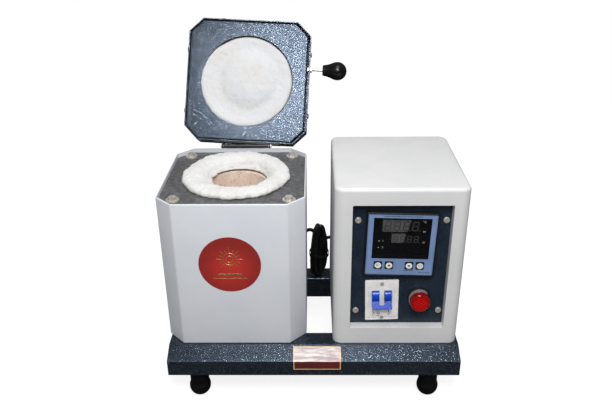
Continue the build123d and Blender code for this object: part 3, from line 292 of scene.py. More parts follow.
# sheet metal and moulded nodes whose sharp edges are rounded in copies: (rounding, body, slot)
softEdges = {
    "furnace_casing": (0.45, "base", "light_paint"),
    "control_case": (0.45, "base", "box_paint"),
    "rear_panel": (0.3, "base", "box_paint"),
    "front_rail": (0.4, "base", "navy_hammer"),
    "rear_rail": (0.4, "base", "navy_hammer"),
    "front_panel": (0.3, "base", "panel_paint"),
    "breaker_cover": (0.3, "base", "breaker_plastic"),
    "breaker_body": (0.35, "base", "breaker_plastic"),
    "controller_case": (0.3, "base", "meter_plastic"),
    "lid_pan": (0.35, "lid", "navy_hammer"),
    "lid_face_plate": (0.35, "lid", "navy_hammer"),
    "breaker_toggle": (0.7, "breaker_lever", "blue_plastic"),
    "plug_body": (0.5, "base", "black_plastic"),
}
casingFold = {"radius": 1.8, "segments": 4, "shortest": 120.0}


def roundFolds(piece, look):
    # the casing's long upright folds are rounder than its cut edges
    middle = middleOf("furnace_casing")
    half = (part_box("furnace_casing")[1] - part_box("furnace_casing")[0]) / 2
    onlySelect(piece)
    mesh = piece.data
    for polygon in mesh.polygons:
        polygon.select = False
    for vertex in mesh.vertices:
        vertex.select = False
    for edge in mesh.edges:
        start, end = (mesh.vertices[i].co for i in edge.vertices)
        level = (start - end).to_2d().length < 1e-5
        out = max(abs(start.x - middle.x) - half.x, abs(start.y - middle.y) - half.y)
        edge.select = level and (start - end).length > look["shortest"] * mm and abs(out) < 1e-5
    bpy.ops.object.mode_set(mode="EDIT")
    bpy.ops.mesh.select_mode(type="EDGE")
    bpy.ops.mesh.bevel(
        offset=look["radius"] * mm, segments=look["segments"], affect="EDGES", clamp_overlap=False
    )
    bpy.ops.mesh.select_mode(type="VERT")
    endEdit()


def softened(name, rounding, body, slotName):
    source = nodes[name]
    piece = bpy.data.objects.new(name + "_soft", source.data.copy())
    bpy.context.scene.collection.objects.link(piece)
    editAll(piece)
    bpy.ops.mesh.customdata_custom_splitnormals_clear()
    bpy.ops.mesh.remove_doubles(threshold=2e-6)
    bpy.ops.mesh.dissolve_limited(angle_limit=math.radians(0.5))
    endEdit()
    if name == "furnace_casing":
        roundFolds(piece, casingFold)
    smoothed(piece, 30)
    applyModifier(
        piece, "BEVEL", width=rounding * mm, segments=2, limit_method="ANGLE",
        angle_limit=math.radians(38), use_clamp_overlap=False, harden_normals=True,
    )
    rideOn(piece, body, slotName, name)
    return piece


soft = {name: softened(name, *look) for name, look in softEdges.items()}
print("edges rounded on", len(soft), "nodes")

# the ceramic fibre collar, rolled out over the plate round the mouth
mouthRoll = {
    "outline": [
        (77.4, 3.2), (76.2, 6.6), (72.5, 8.9), (66.0, 9.9), (58.5, 10.6), (51.0, 7.5), (45.5, 2.6),
        (41.8, -1.8), (40.2, -4.8), (43.0, -5.4), (52.0, -2.9), (64.0, -2.4), (69.5, -1.0),
        (71.0, 0.35), (75.8, 0.4),
    ],
    "steps": 96,
    "smoothing": 2,
    "waves": [(19.0, 1.7), (7.0, 1.25), (2.8, 0.6)],  # (size, depth)
    "ragged": [(9.0, 2.6), (4.0, 1.5)],  # along the inner edge
    "edgeFrom": 46.0,
    "holeIn": -1.6, "holeRight": 4.0, "holeBack": 3.2,  # the hole is torn off centre
    "backLift": 3.4,
}
fibreLook = {"thickness": 0.22, "shortest": 1.5, "longest": 4.0, "curl": 0.5}


def wave(point, sizes):
    # smooth noise of several sizes, in millimetres
    total = 0.0
    for index, (size, depth) in enumerate(sizes):
        total += depth * noise.noise(point / (size * mm) + Vector((index * 17.3, 4.1, 9.7)))
    return total


def fluff(piece, sizes, keepBelow=None):
    # lumps like torn wool: every point moves along its own normal
    moves = []
    for vertex in piece.data.vertices:
        held = keepBelow is not None and vertex.co.z < keepBelow * mm
        moves.append(0.0 if held else wave(vertex.co, sizes) * mm)
    for vertex, move in zip(piece.data.vertices, moves):
        vertex.co += vertex.normal * move


def makeMouthRoll(look):
    roll = spun("mouthRoll", look["outline"], look["steps"])
    applyModifier(roll, "SUBSURF", levels=look["smoothing"], render_levels=look["smoothing"])
    for vertex in roll.data.vertices:
        radius = vertex.co.to_2d().length / mm
        across, back = vertex.co.x / mm / radius, vertex.co.y / mm / radius
        inner = min(1.0, max(0.0, (60 - radius) / 20))
        shift = inner * (look["holeIn"] + look["holeRight"] * across + look["holeBack"] * back)
        vertex.co.x += across * shift * mm
        vertex.co.y += back * shift * mm
        if vertex.co.z > 2 * mm:
            vertex.co.z += look["backLift"] * max(0.0, back) * min(1.0, vertex.co.z / mm / 8) * mm
    fluff(roll, look["waves"], keepBelow=-1.5)
    for vertex in roll.data.vertices:
        radius = vertex.co.to_2d().length
        nearEdge = max(0.0, 1 - (radius / mm - 39.5) / (look["edgeFrom"] - 39.5))
        if nearEdge > 0 and vertex.co.z < 4 * mm:
            outward = Vector((vertex.co.x, vertex.co.y, 0)).normalized()
            rough = wave(outward * mouthRoll["edgeFrom"] * mm, look["ragged"])
            vertex.co += outward * (rough + 0.6) * nearEdge * mm
        vertex.co.z = max(vertex.co.z, -5.6 * mm)
    smoothed(roll, 180)
    return roll


def makeFibres(name, piece, count, wanted, outwards=1.0):
    # short bent hairs that stand out of a fibre piece, each grown from a point of its surface
    curve = bpy.data.curves.new(name, "CURVE")
    curve.dimensions = "3D"
    curve.bevel_depth = fibreLook["thickness"] / 2 * mm
    curve.bevel_resolution = 0
    curve.resolution_u = 2
    roots = [vertex for vertex in piece.data.vertices if wanted(vertex)]
    for _ in range(count):
        root = random.choice(roots)
        length = random.uniform(fibreLook["shortest"], fibreLook["longest"]) * mm
        stray = Vector([random.uniform(-1, 1) for _ in range(3)])
        way = (root.normal * outwards + stray * 0.8).normalized()
        bend = Vector([random.uniform(-1, 1) for _ in range(3)]) * fibreLook["curl"] * length
        spline = curve.splines.new("NURBS")
        spline.points.add(3)
        for index, point in enumerate(spline.points):
            share = index / 3
            place = root.co - root.normal * 0.3 * mm + way * length * share + bend * share * share
            point.co = (*place, 1)
            point.radius = 1 - 0.7 * share
        spline.order_u = 3
        spline.use_endpoint_u = True
    hairs = bpy.data.objects.new(name, curve)
    bpy.context.scene.collection.objects.link(hairs)
    onlySelect(hairs)
    bpy.ops.object.convert(target="MESH")
    return bpy.context.object


mouthCollar = makeMouthRoll(mouthRoll)
mouthHairs = makeFibres("mouthHairs", mouthCollar, 420, lambda vertex: vertex.co.z > 0.5 * mm)
for piece in (mouthCollar, mouthHairs):
    putOn(piece, mouthPlane)
rideOn(mouthCollar, "base", "fibre_ring", "mouth_ring")
rideOn(mouthHairs, "base", "fibre_ring")
print("mouth collar made")

# the lid's fibre pad: a flat ring round a soft dome that fits into the mouth
lidPad = {
    "outline": [
        (0, 3.4), (12, 3.2), (23, 2.7), (32, 1.6), (39, -0.6), (43.5, -2.8), (47, -4.2), (51, -4.5),
        (58, -3.3), (65, -2.4), (70, -2.6), (72.1, -4.6), (72.1, -19.5), (0, -19.5),
    ],
    "steps": 80,
    "smoothing": 2,
    "waves": [(22.0, 1.0), (8.0, 0.6), (3.0, 0.3)],
    "domeShift": (3.0, 5.5),
    "domeReach": 66.0,
    "spill": 215.0,  # towards here it spills over the edge of its hole, in degrees
    "spillOut": 2.4,
    "spillUp": 3.6,
}


def makeLidPad(look):
    pad = spun("lidPadFibre", look["outline"], look["steps"])
    applyModifier(pad, "SUBSURF", levels=look["smoothing"], render_levels=look["smoothing"])
    for vertex in pad.data.vertices:
        radius = vertex.co.to_2d().length / mm
        share = max(0.0, 1 - (radius / look["domeReach"]) ** 3)
        if vertex.co.z > -8 * mm:
            vertex.co.x += look["domeShift"][0] * share * mm
            vertex.co.y += look["domeShift"][1] * share * mm
        if radius > 58 and vertex.co.z > -8 * mm:
            turn = math.atan2(vertex.co.y, vertex.co.x) - math.radians(look["spill"])
            near = max(0.0, math.cos(turn)) * min(1.0, (radius - 58) / 8)
            vertex.co *= 1 + look["spillOut"] * near / radius
            vertex.co.z += look["spillUp"] * near * mm
    fluff(pad, look["waves"], keepBelow=-6.5)
    smoothed(pad, 180)
    return pad


def leftEdge(vertex):
    # the tufts that catch on the hole's left edge
    place = vertex.co / mm
    return place.x < -20 and place.y < 34 and place.z > -4 and place.to_2d().length > 69


def openFace(vertex):
    return vertex.co.z > -6 * mm


padFibre = makeLidPad(lidPad)
padHairs = makeFibres("padHairs", padFibre, 260, openFace)
padTufts = makeFibres("padTufts", padFibre, 260, leftEdge, outwards=0.9)
for piece in (padFibre, padHairs, padTufts):
    putOn(piece, padPlane)
rideOn(padFibre, "lid", "fibre_pad", "lid_pad")
rideOn(padHairs, "lid", "fibre_pad")
rideOn(padTufts, "lid", "fibre_pad")
print("lid pad made")

# the controller's unlit digits, behind its window
digitRows = {
    "upperDigits": {"x": -0.6, "y": 27.3, "pitch": 12.3, "width": 7.0, "height": 12.6, "bar": 1.5},
    "lowerDigits": {"x": 6.3, "y": 7.8, "pitch": 9.3, "width": 5.2, "height": 8.8, "bar": 1.1},
}
digitLift = 5.2
digitSlant = 0.12


def segment(x, y, length, bar, upright):
    # one bar of a digit, pointed at both ends
    bpy.ops.mesh.primitive_circle_add(vertices=6, fill_type="NGON")
    piece = bpy.context.object
    half = length / 2 - bar * 0.15
    ends = [(half, 0), (half - bar / 2, bar / 2), (bar / 2 - half, bar / 2),
            (-half, 0), (bar / 2 - half, -bar / 2), (half - bar / 2, -bar / 2)]
    for vertex, (along, side) in zip(piece.data.vertices, ends):
        across, up = (side, along) if upright else (along, side)
        vertex.co = ((x + across) * mm, (y + up) * mm, digitLift * mm)
    editAll(piece)
    bpy.ops.mesh.extrude_region_move(TRANSFORM_OT_translate={"value": (0, 0, 0.15 * mm)})
    bpy.ops.mesh.select_all(action="SELECT")
    bpy.ops.mesh.normals_make_consistent(inside=False)
    endEdit()
    return piece


def digitRow(name, look):
    parts = []
    width, height, bar = look["width"], look["height"], look["bar"]
    for place in range(4):
        left = look["x"] + (place - 1.5) * look["pitch"]
        for up in (-height / 2, 0, height / 2):
            parts.append(segment(left, look["y"] + up, width, bar, False))
        for side in (-width / 2, width / 2):
            for up in (-height / 4, height / 4):
                parts.append(segment(left + side, look["y"] + up, height / 2, bar, True))
        point = raisedDisc(left + width * 0.82, look["y"] - height / 2, bar * 0.55, 0.15, digitLift, 12)
        parts.append(point)
    row = joined(name, parts)
    for vertex in row.data.vertices:
        vertex.co.x += (vertex.co.y - look["y"] * mm) * digitSlant
    return row


for name, look in digitRows.items():
    row = digitRow(name, look)
    putOn(row, meterPlane)
    rideOn(row, "base", "display_grey")

# small printed marks on the window, and a lamp beside each channel's number
windowMarks = {
    "words": [("PV", 29.5, 21.2, 3.2), ("SV", 29.9, 5.2, 3.2), ("°C", 28.5, 35.9, 3.8),
              ("1", -24.7, 6.4, 3.6), ("2", -24.6, -3.2, 3.6)],
    "lamps": [(-29.8, 6.3), (-30.1, -3.5)],
    "lift": 8.72,
}


def makeWindowMarks(look):
    parts = [word(text, x, y, size, look["lift"]) for text, x, y, size in look["words"]]
    parts += [raisedDisc(x, y, 0.7, 0.06, look["lift"], 16) for x, y in look["lamps"]]
    marks = joined("windowMarks", parts)
    putOn(marks, meterPlane)
    rideOn(marks, "base", "display_grey")
    return marks


windowPrint = makeWindowMarks(windowMarks)

# small dark printed marks above the window and under the keys, too small to read
filmDashes = {
    "rows": [(-24.0, 24.0, 43.3, 17), (8.0, 17.5, -38.6, 4), (28.0, 41.0, -41.6, 5)],  # from, to, height, marks
    "length": 2.0,
    "width": 0.9,
    "lift": 8.7,
}


def makeFilmDashes(look):
    parts = []
    for start, end, height, count in look["rows"]:
        pitch = (end - start) / (count - 1)
        for index in range(count):
            middle = start + pitch * index
            half = look["length"] / 2 * (0.7 + 0.3 * math.sin(index * 2.4))
            parts.append(stroke(middle - half, height, middle + half, height, look["width"], 0.05, look["lift"]))
    return joined("filmDashes", parts)


filmPrint = makeFilmDashes(filmDashes)
putOn(filmPrint, meterPlane)
rideOn(filmPrint, "base", "film_plastic")

# keys: a white round with a black sign on each
keyFaces = {
    "signs": {"key_set": "SET", "key_up": "", "key_down": "", "key_enter": "ENT"},
    "radius": 4.5,
    "ink": 0.05,
}


def keySign(name, look):
    if look["signs"][name]:
        return word(look["signs"][name], 0, 0, 3.2, look["ink"], look["ink"])
    bpy.ops.mesh.primitive_cylinder_add(vertices=3, radius=2.3 * mm, depth=look["ink"] * mm)
    sign = bpy.context.object
    sign.rotation_euler = (0, 0, 0 if name == "key_up" else math.pi)
    sign.location = (0, 0, look["ink"] * 1.5 * mm)
    bpy.ops.object.transform_apply(location=True, rotation=True, scale=True)
    return sign


keyRounds = []
keySigns = []
for name in keyFaces["signs"]:
    middle = middleOf(name)
    keyPlane = planeAt(middle.x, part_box(name)[0].y, middle.z, turn=-1.5)
    face = raisedDisc(0, 0, keyFaces["radius"], keyFaces["ink"], 0, 40)
    face.name = name + "_round"
    sign = keySign(name, keyFaces)
    sign.name = name + "_sign"
    for piece in (face, sign):
        putOn(piece, keyPlane)
        rideOn(piece, name, "key_rubber")
    keyRounds.append(face)
    keySigns.append(sign)
print("controller marked")

# the pilot lamp's lens, with slanting ribs moulded into its front
lensLook = {"radius": 14.0, "front": 17.0, "back": 3.2, "edge": 3.0, "rib": 2.9, "ribDepth": 0.75, "ribTurn": 28.0}


def makeLens(look):
    front, back, radius, edge = look["front"], look["back"], look["radius"], look["edge"]
    rings = 22
    flat = radius - edge
    outline = [(flat * index / rings, front) for index in range(rings + 1)]
    outline += [
        (flat + edge * math.sin(math.radians(turn)), front - edge + edge * math.cos(math.radians(turn)))
        for turn in (20, 40, 60, 80, 90)
    ]
    outline += [(radius, (front + back) / 2), (radius, back), (0, back)]
    lens = spun("pilotLens", outline, 96)
    turn = math.radians(look["ribTurn"])
    for vertex in lens.data.vertices:
        place = vertex.co / mm
        if place.z > front - 0.01 and place.to_2d().length < flat + 0.01:
            across = place.x * math.sin(turn) + place.y * math.cos(turn)
            fade = min(1.0, (flat - place.to_2d().length) / 1.0)
            vertex.co.z -= look["ribDepth"] * fade * (0.5 - 0.5 * math.cos(math.tau * across / look["rib"])) * mm
    smoothed(lens, 50)
    return lens


pilotLens = makeLens(lensLook)
putOn(pilotLens, lampPlane)
rideOn(pilotLens, "base", "red_lens", "lamp_lens")

# signs on the breaker's cover: a switch in each pole's line, and the moulded line over the lower screw
breakerSigns = [
    (-12.5, -16.5, -12.5, -19.0, 0.7), (-12.5, -19.0, -10.2, -22.0, 0.7), (-12.5, -22.6, -12.5, -25.2, 0.7),
    (-7.0, -18.0, -3.4, -18.0, 0.7), (-6.4, -20.4, -2.8, -23.2, 0.7), (-2.8, -20.4, -6.4, -23.2, 0.7),
    (-7.0, -25.4, -3.4, -25.4, 0.7), (9.6, -16.5, 9.6, -19.0, 0.7), (9.6, -19.0, 11.9, -22.0, 0.7),
    (9.6, -22.6, 9.6, -25.2, 0.7),
]
coverLift = 2.5
signParts = [stroke(*sign[:4], sign[4], 0.06, coverLift) for sign in breakerSigns]
coverSigns = joined("breakerSigns", signParts)
putOn(coverSigns, switchPlane)
rideOn(coverSigns, "base", "breaker_plastic")
coverLine = joined("coverLine", [stroke(-21.5, -28.0, -3.4, -28.0, 0.35, 0.05, coverLift),
                                 stroke(3.4, -28.0, 21.5, -28.0, 0.35, 0.05, coverLift)])
putOn(coverLine, switchPlane)
rideOn(coverLine, "base", "breaker_plastic")

# the badge: a plain sun in thin raised gold lines, with two rules under it
badgeLook = {"sunUp": 9.0, "sunRadius": 9.0, "rays": 16, "rayFrom": 11.5, "rayTo": 17.5}


def goldRing(radius, width, up):
    ring = spun("ring", [(radius - width / 2, 0.0), (radius + width / 2, 0.0),
                         (radius + width * 0.3, 0.14), (radius - width * 0.3, 0.14)], 96)
    ring.location.y = up * mm
    onlySelect(ring)
    bpy.ops.object.transform_apply(location=True, rotation=True, scale=True)
    return ring


def makeBadge(look):
    up = look["sunUp"]
    parts = [goldRing(look["sunRadius"], 0.8, up), goldRing(look["sunRadius"] * 0.55, 0.7, up)]
    for index in range(look["rays"]):
        turn = math.tau * index / look["rays"]
        reach = look["rayTo"] if index % 2 == 0 else (look["rayFrom"] + look["rayTo"]) / 2
        across, rise = math.cos(turn), math.sin(turn)
        parts.append(stroke(across * look["rayFrom"], up + rise * look["rayFrom"],
                            across * reach, up + rise * reach, 0.8, 0.14))
    parts.append(stroke(-15.0, -15.0, 15.0, -15.0, 2.2, 0.14))
    parts.append(stroke(-23.0, -21.5, 23.0, -21.5, 0.8, 0.14))
    return joined("badgeLines", parts)


badgeLines = makeBadge(badgeLook)
putOn(badgeLines, badgePlane)
rideOn(badgeLines, "base", "badge_foil")

# the black tie round the middle of the bundled lead
tieLook = {"x": 9.8, "y": 33.6, "z": 124.0, "width": 32.5, "depth": 28.6, "height": 5.0, "sheet": 0.9}


def makeTie(look):
    band = spun("leadTie", [(1.0, -0.5), (1.0, 0.5), (1.0 - look["sheet"] / 14, 0.5), (1.0 - look["sheet"] / 14, -0.5)], 48)
    for vertex in band.data.vertices:
        along = Vector((vertex.co.x, vertex.co.y)) / mm
        radius = along.length
        turn = math.atan2(along.y, along.x)
        squareX = math.copysign(abs(math.cos(turn)) ** 0.7, math.cos(turn))
        squareY = math.copysign(abs(math.sin(turn)) ** 0.7, math.sin(turn))
        vertex.co.x = squareX * (look["width"] / 2 + (radius - 1) * 14) * mm
        vertex.co.y = squareY * (look["depth"] / 2 + (radius - 1) * 14) * mm
        vertex.co.z = vertex.co.z * look["height"] + 1.2 * math.sin(turn) * mm
    applyModifier(band, "BEVEL", width=0.25 * mm, segments=2, limit_method="ANGLE")
    smoothed(band)
    return band


leadTie = makeTie(tieLook)
putOn(leadTie, Matrix.Translation([tieLook[axis] * mm for axis in "xyz"]))
rideOn(leadTie, "base", "black_plastic")

print("lamp, signs, badge and tie made")


# ---- materials
def feed(tree, socket, value):
    if isinstance(value, bpy.types.NodeSocket):
        tree.links.new(value, socket)
    else:
        socket.default_value = value


def addNode(tree, kind, inputs=None, **settings):
    made = tree.nodes.new("ShaderNode" + kind)
    for name, value in settings.items():
        setattr(made, name, value)
    for name, value in (inputs or {}).items():
        feed(tree, made.inputs[name], value)
    return made


def calc(tree, operation, a, b=0.0, clamp=False):
    return addNode(tree, "Math", {0: a, 1: b}, operation=operation, use_clamp=clamp).outputs[0]


def blendColour(tree, share, a, b):
    mixed = addNode(tree, "Mix", {0: share}, data_type="RGBA")
    feed(tree, mixed.inputs[6], a)
    feed(tree, mixed.inputs[7], b)
    return mixed.outputs[2]


def ramp(tree, value, low, high, fromValue=0.0, toValue=1.0):
    # a smooth step from one value to another
    made = addNode(tree, "MapRange", {0: value, 1: low, 2: high, 3: fromValue, 4: toValue})
    made.interpolation_type = "SMOOTHSTEP"
    return made.outputs[0]


def scaled(tree, vector, amount):
    return addNode(tree, "VectorMath", {0: vector, 3: amount}, operation="SCALE").outputs[0]


def objectPlace(tree):
    return addNode(tree, "TexCoord").outputs["Object"]


def cloud(tree, vector, size, detail=2.0, roughness=0.5):
    # noise whose features are about this many millimetres across
    inputs = {"Vector": vector, "Scale": 1000.0 / size, "Detail": detail, "Roughness": roughness}
    return addNode(tree, "TexNoise", inputs).outputs["Fac"]


def newGroup(name, inputs, outputs):
    group = bpy.data.node_groups.new(name, "ShaderNodeTree")
    for label, value in inputs.items():
        socket = group.interface.new_socket(name=label, in_out="INPUT", socket_type="NodeSocketFloat")
        socket.default_value = value
    for label in outputs:
        group.interface.new_socket(name=label, in_out="OUTPUT", socket_type="NodeSocketFloat")
    return group, group.nodes.new("NodeGroupInput").outputs, group.nodes.new("NodeGroupOutput").inputs


def makeHammerGroup():
    # hammered enamel: shallow pits with flakes of metal in them
    group, given, result = newGroup("hammerRelief", {"Size": 2.0}, ["Height", "Fleck", "Tone"])
    scale = calc(group, "DIVIDE", 1000.0, given["Size"])
    place = scaled(group, objectPlace(group), scale)
    lumps = addNode(group, "TexNoise", {"Vector": place, "Scale": 1.0, "Detail": 2.5, "Roughness": 0.6})
    pits = addNode(group, "TexVoronoi", {"Vector": place, "Scale": 0.9, "Smoothness": 0.5}, feature="SMOOTH_F1")
    height = calc(group, "ADD", calc(group, "MULTIPLY", lumps.outputs["Fac"], 0.65),
                  calc(group, "MULTIPLY", pits.outputs["Distance"], 0.4))
    cells = addNode(group, "TexVoronoi", {"Vector": place, "Scale": 0.95})
    pick = addNode(group, "SeparateColor", {0: cells.outputs["Color"]}).outputs[0]
    near = ramp(group, cells.outputs["Distance"], 0.25, 0.55, 1.0, 0.0)
    fleck = calc(group, "MULTIPLY", ramp(group, pick, 0.55, 0.95), near)
    feed(group, result["Height"], height)
    feed(group, result["Fleck"], fleck)
    feed(group, result["Tone"], addNode(group, "TexNoise", {"Vector": place, "Scale": 0.07, "Detail": 3.0}).outputs["Fac"])
    return group


def makeWearGroup():
    # bare or polished edges, broken up by noise
    group, given, result = newGroup("edgeWear", {"Width": 0.0006, "Patch": 6.0, "Amount": 1.0}, ["Mask"])
    rounded = addNode(group, "Bevel", {"Radius": given["Width"]}, samples=4).outputs[0]
    flat = addNode(group, "NewGeometry").outputs["Normal"]
    facing = addNode(group, "VectorMath", {0: rounded, 1: flat}, operation="DOT_PRODUCT").outputs["Value"]
    edge = ramp(group, facing, 0.995, 0.90, 0.0, 1.0)
    place = scaled(group, objectPlace(group), calc(group, "DIVIDE", 1000.0, given["Patch"]))
    patches = addNode(group, "TexNoise", {"Vector": place, "Scale": 1.0, "Detail": 4.0, "Roughness": 0.7}).outputs["Fac"]
    broken = ramp(group, patches, 0.42, 0.62)
    feed(group, result["Mask"], calc(group, "MULTIPLY", calc(group, "MULTIPLY", edge, broken), given["Amount"], True))
    return group


def makeGrainGroup():
    # fine grain and slow blotches, for paint and mouldings
    group, given, result = newGroup("surfaceGrain", {"Grain": 0.8, "Blotch": 40.0}, ["Height", "Tone"])
    place = objectPlace(group)
    fine = scaled(group, place, calc(group, "DIVIDE", 1000.0, given["Grain"]))
    slow = scaled(group, place, calc(group, "DIVIDE", 1000.0, given["Blotch"]))
    feed(group, result["Height"], addNode(group, "TexNoise", {"Vector": fine, "Scale": 1.0, "Detail": 2.0}).outputs["Fac"])
    feed(group, result["Tone"], addNode(group, "TexNoise", {"Vector": slow, "Scale": 1.0, "Detail": 4.0, "Roughness": 0.6}).outputs["Fac"])
    return group


def makeDustGroup():
    # a little dust on what faces up
    group, given, result = newGroup("settledDust", {"Amount": 0.2}, ["Mask"])
    normal = addNode(group, "NewGeometry").outputs["Normal"]
    up = addNode(group, "SeparateXYZ", {0: normal}).outputs[2]
    place = scaled(group, objectPlace(group), 160.0)
    patches = addNode(group, "TexNoise", {"Vector": place, "Scale": 1.0, "Detail": 5.0, "Roughness": 0.7}).outputs["Fac"]
    lying = calc(group, "MULTIPLY", ramp(group, up, 0.35, 0.95), ramp(group, patches, 0.35, 0.75))
    feed(group, result["Mask"], calc(group, "MULTIPLY", lying, given["Amount"], True))
    return group


def makeFleeceGroup():
    # matted ceramic fibre: lumps, pulled strands and fuzz
    group, given, result = newGroup("fibreFleece", {"Size": 3.0}, ["Height", "Tone"])
    place = scaled(group, objectPlace(group), calc(group, "DIVIDE", 1000.0, given["Size"]))
    warp = addNode(group, "TexNoise", {"Vector": place, "Scale": 0.5, "Detail": 2.0}).outputs["Color"]
    bent = addNode(group, "VectorMath", {0: place, 1: warp}, operation="ADD").outputs[0]
    strands = addNode(group, "TexNoise", {"Vector": bent, "Scale": 2.2, "Detail": 6.0, "Roughness": 0.72, "Distortion": 1.6}).outputs["Fac"]
    lumps = addNode(group, "TexNoise", {"Vector": bent, "Scale": 0.6, "Detail": 3.0}).outputs["Fac"]
    feed(group, result["Height"], calc(group, "ADD", calc(group, "MULTIPLY", strands, 0.45), lumps))
    feed(group, result["Tone"], strands)
    return group


groups = {
    "hammer": makeHammerGroup(),
    "wear": makeWearGroup(),
    "grain": makeGrainGroup(),
    "dust": makeDustGroup(),
    "fleece": makeFleeceGroup(),
}


def useGroup(tree, name, **inputs):
    made = tree.nodes.new("ShaderNodeGroup")
    made.node_tree = groups[name]
    for label, value in inputs.items():
        feed(tree, made.inputs[label], value)
    return made.outputs


def newMaterial(name, **constants):
    material = bpy.data.materials.new(name)
    material.use_nodes = True
    tree = material.node_tree
    shader = tree.nodes["Principled BSDF"]
    for label, value in constants.items():
        socket = shader.inputs[label.replace("_", " ")]
        socket.default_value = (*value, 1.0) if isinstance(value, tuple) and len(value) == 3 and socket.type == "RGBA" else value
    return material, tree, shader


def opaque(colour):
    return (*colour, 1.0)


def bumped(tree, shader, height, distance, strength=1.0):
    bump = addNode(tree, "Bump", {"Height": height, "Distance": distance * mm, "Strength": strength})
    feed(tree, shader.inputs["Normal"], bump.outputs[0])


def hammerPaint(name, look):
    material, tree, shader = newMaterial(name, Coat_Weight=look["coat"], Coat_Roughness=0.12, Specular_IOR_Level=look["specular"])
    relief = useGroup(tree, "hammer", Size=look["size"])
    wear = useGroup(tree, "wear", Width=0.0007, Patch=5.0, Amount=look["wear"])["Mask"]
    toned = blendColour(tree, ramp(tree, relief["Tone"], 0.3, 0.7), opaque(look["dark"]), opaque(look["colour"]))
    flecked = blendColour(tree, relief["Fleck"], toned, opaque(look["fleck"]))
    feed(tree, shader.inputs["Base Color"], blendColour(tree, wear, flecked, opaque(look["worn"])))
    shader.inputs["Metallic"].default_value = look["metal"]
    feed(tree, shader.inputs["Roughness"], ramp(tree, relief["Tone"], 0.2, 0.8, look["roughness"] - 0.05, look["roughness"] + 0.07))
    bumped(tree, shader, relief["Height"], look["depth"])
    return material


def satinPaint(name, look):
    material, tree, shader = newMaterial(name, Coat_Weight=look["coat"], Coat_Roughness=0.2)
    grain = useGroup(tree, "grain", Grain=look["grain"], Blotch=55.0)
    wear = useGroup(tree, "wear", Width=0.0006, Patch=4.0, Amount=look["wear"])["Mask"]
    dust = useGroup(tree, "dust", Amount=look["dust"])["Mask"]
    toned = blendColour(tree, ramp(tree, grain["Tone"], 0.3, 0.7), opaque(look["shade"]), opaque(look["colour"]))
    scuffs = ramp(tree, cloud(tree, objectPlace(tree), 3.0, 6.0, 0.8), 0.70, 0.76)
    marked = blendColour(tree, calc(tree, "MULTIPLY", scuffs, look["scuffs"]), toned, opaque(look["worn"]))
    worn = blendColour(tree, wear, marked, opaque(look["worn"]))
    feed(tree, shader.inputs["Base Color"], blendColour(tree, dust, worn, (0.45, 0.44, 0.42, 1.0)))
    feed(tree, shader.inputs["Roughness"], ramp(tree, grain["Tone"], 0.25, 0.75, look["roughness"] - 0.04, look["roughness"] + 0.06))
    bumped(tree, shader, grain["Height"], look["depth"])
    return material


def metalFinish(name, look):
    material, tree, shader = newMaterial(name)
    place = objectPlace(tree)
    stretched = addNode(tree, "Mapping", {"Vector": place, "Scale": look["stretch"]}).outputs[0]
    brushed = cloud(tree, stretched, look["grain"], 3.0, 0.6)
    stained = ramp(tree, cloud(tree, place, 5.0, 4.0, 0.6), 0.35, 0.7)
    wear = useGroup(tree, "wear", Width=0.0004, Patch=3.0, Amount=0.7)["Mask"]
    toned = blendColour(tree, stained, opaque(look["colour"]), opaque(look["stain"]))
    feed(tree, shader.inputs["Base Color"], blendColour(tree, wear, toned, opaque(look["bright"])))
    shader.inputs["Metallic"].default_value = look["metal"]
    feed(tree, shader.inputs["Roughness"], ramp(tree, brushed, 0.25, 0.75, look["roughness"] - 0.07, look["roughness"] + 0.1))
    bumped(tree, shader, brushed, look["depth"])
    return material


def moulded(name, look):
    material, tree, shader = newMaterial(name, Coat_Weight=look.get("coat", 0.0), Coat_Roughness=0.08, Specular_IOR_Level=0.35)
    grain = useGroup(tree, "grain", Grain=look["grain"], Blotch=look.get("blotch", 12.0))
    wear = useGroup(tree, "wear", Width=0.0005, Patch=3.0, Amount=look["wear"])["Mask"]
    dust = useGroup(tree, "dust", Amount=look["dust"])["Mask"]
    shade = tuple(value * 0.82 for value in look["colour"])
    toned = blendColour(tree, ramp(tree, grain["Tone"], 0.3, 0.7), opaque(shade), opaque(look["colour"]))
    worn = blendColour(tree, wear, toned, opaque(look["worn"]))
    feed(tree, shader.inputs["Base Color"], blendColour(tree, dust, worn, (0.30, 0.29, 0.28, 1.0)))
    feed(tree, shader.inputs["Roughness"], ramp(tree, grain["Tone"], 0.25, 0.75, look["roughness"] - 0.04, look["roughness"] + 0.08))
    bumped(tree, shader, grain["Height"], look["depth"])
    return material


def ceramicFibre(name, look):
    material, tree, shader = newMaterial(name, Roughness=0.95, Sheen_Weight=0.25, Sheen_Roughness=0.5,
                                         Subsurface_Weight=0.12, Subsurface_Radius=(0.004, 0.004, 0.004))
    fleece = useGroup(tree, "fleece", Size=look["size"])
    slow = cloud(tree, objectPlace(tree), 30.0, 3.0)
    toned = blendColour(tree, ramp(tree, slow, 0.35, 0.65), opaque(look["warm"]), opaque(look["colour"]))
    feed(tree, shader.inputs["Base Color"], blendColour(tree, ramp(tree, fleece["Tone"], 0.28, 0.5, 0.55, 0.0), toned, opaque(look["shade"])))
    bumped(tree, shader, fleece["Height"], look["depth"])
    return material


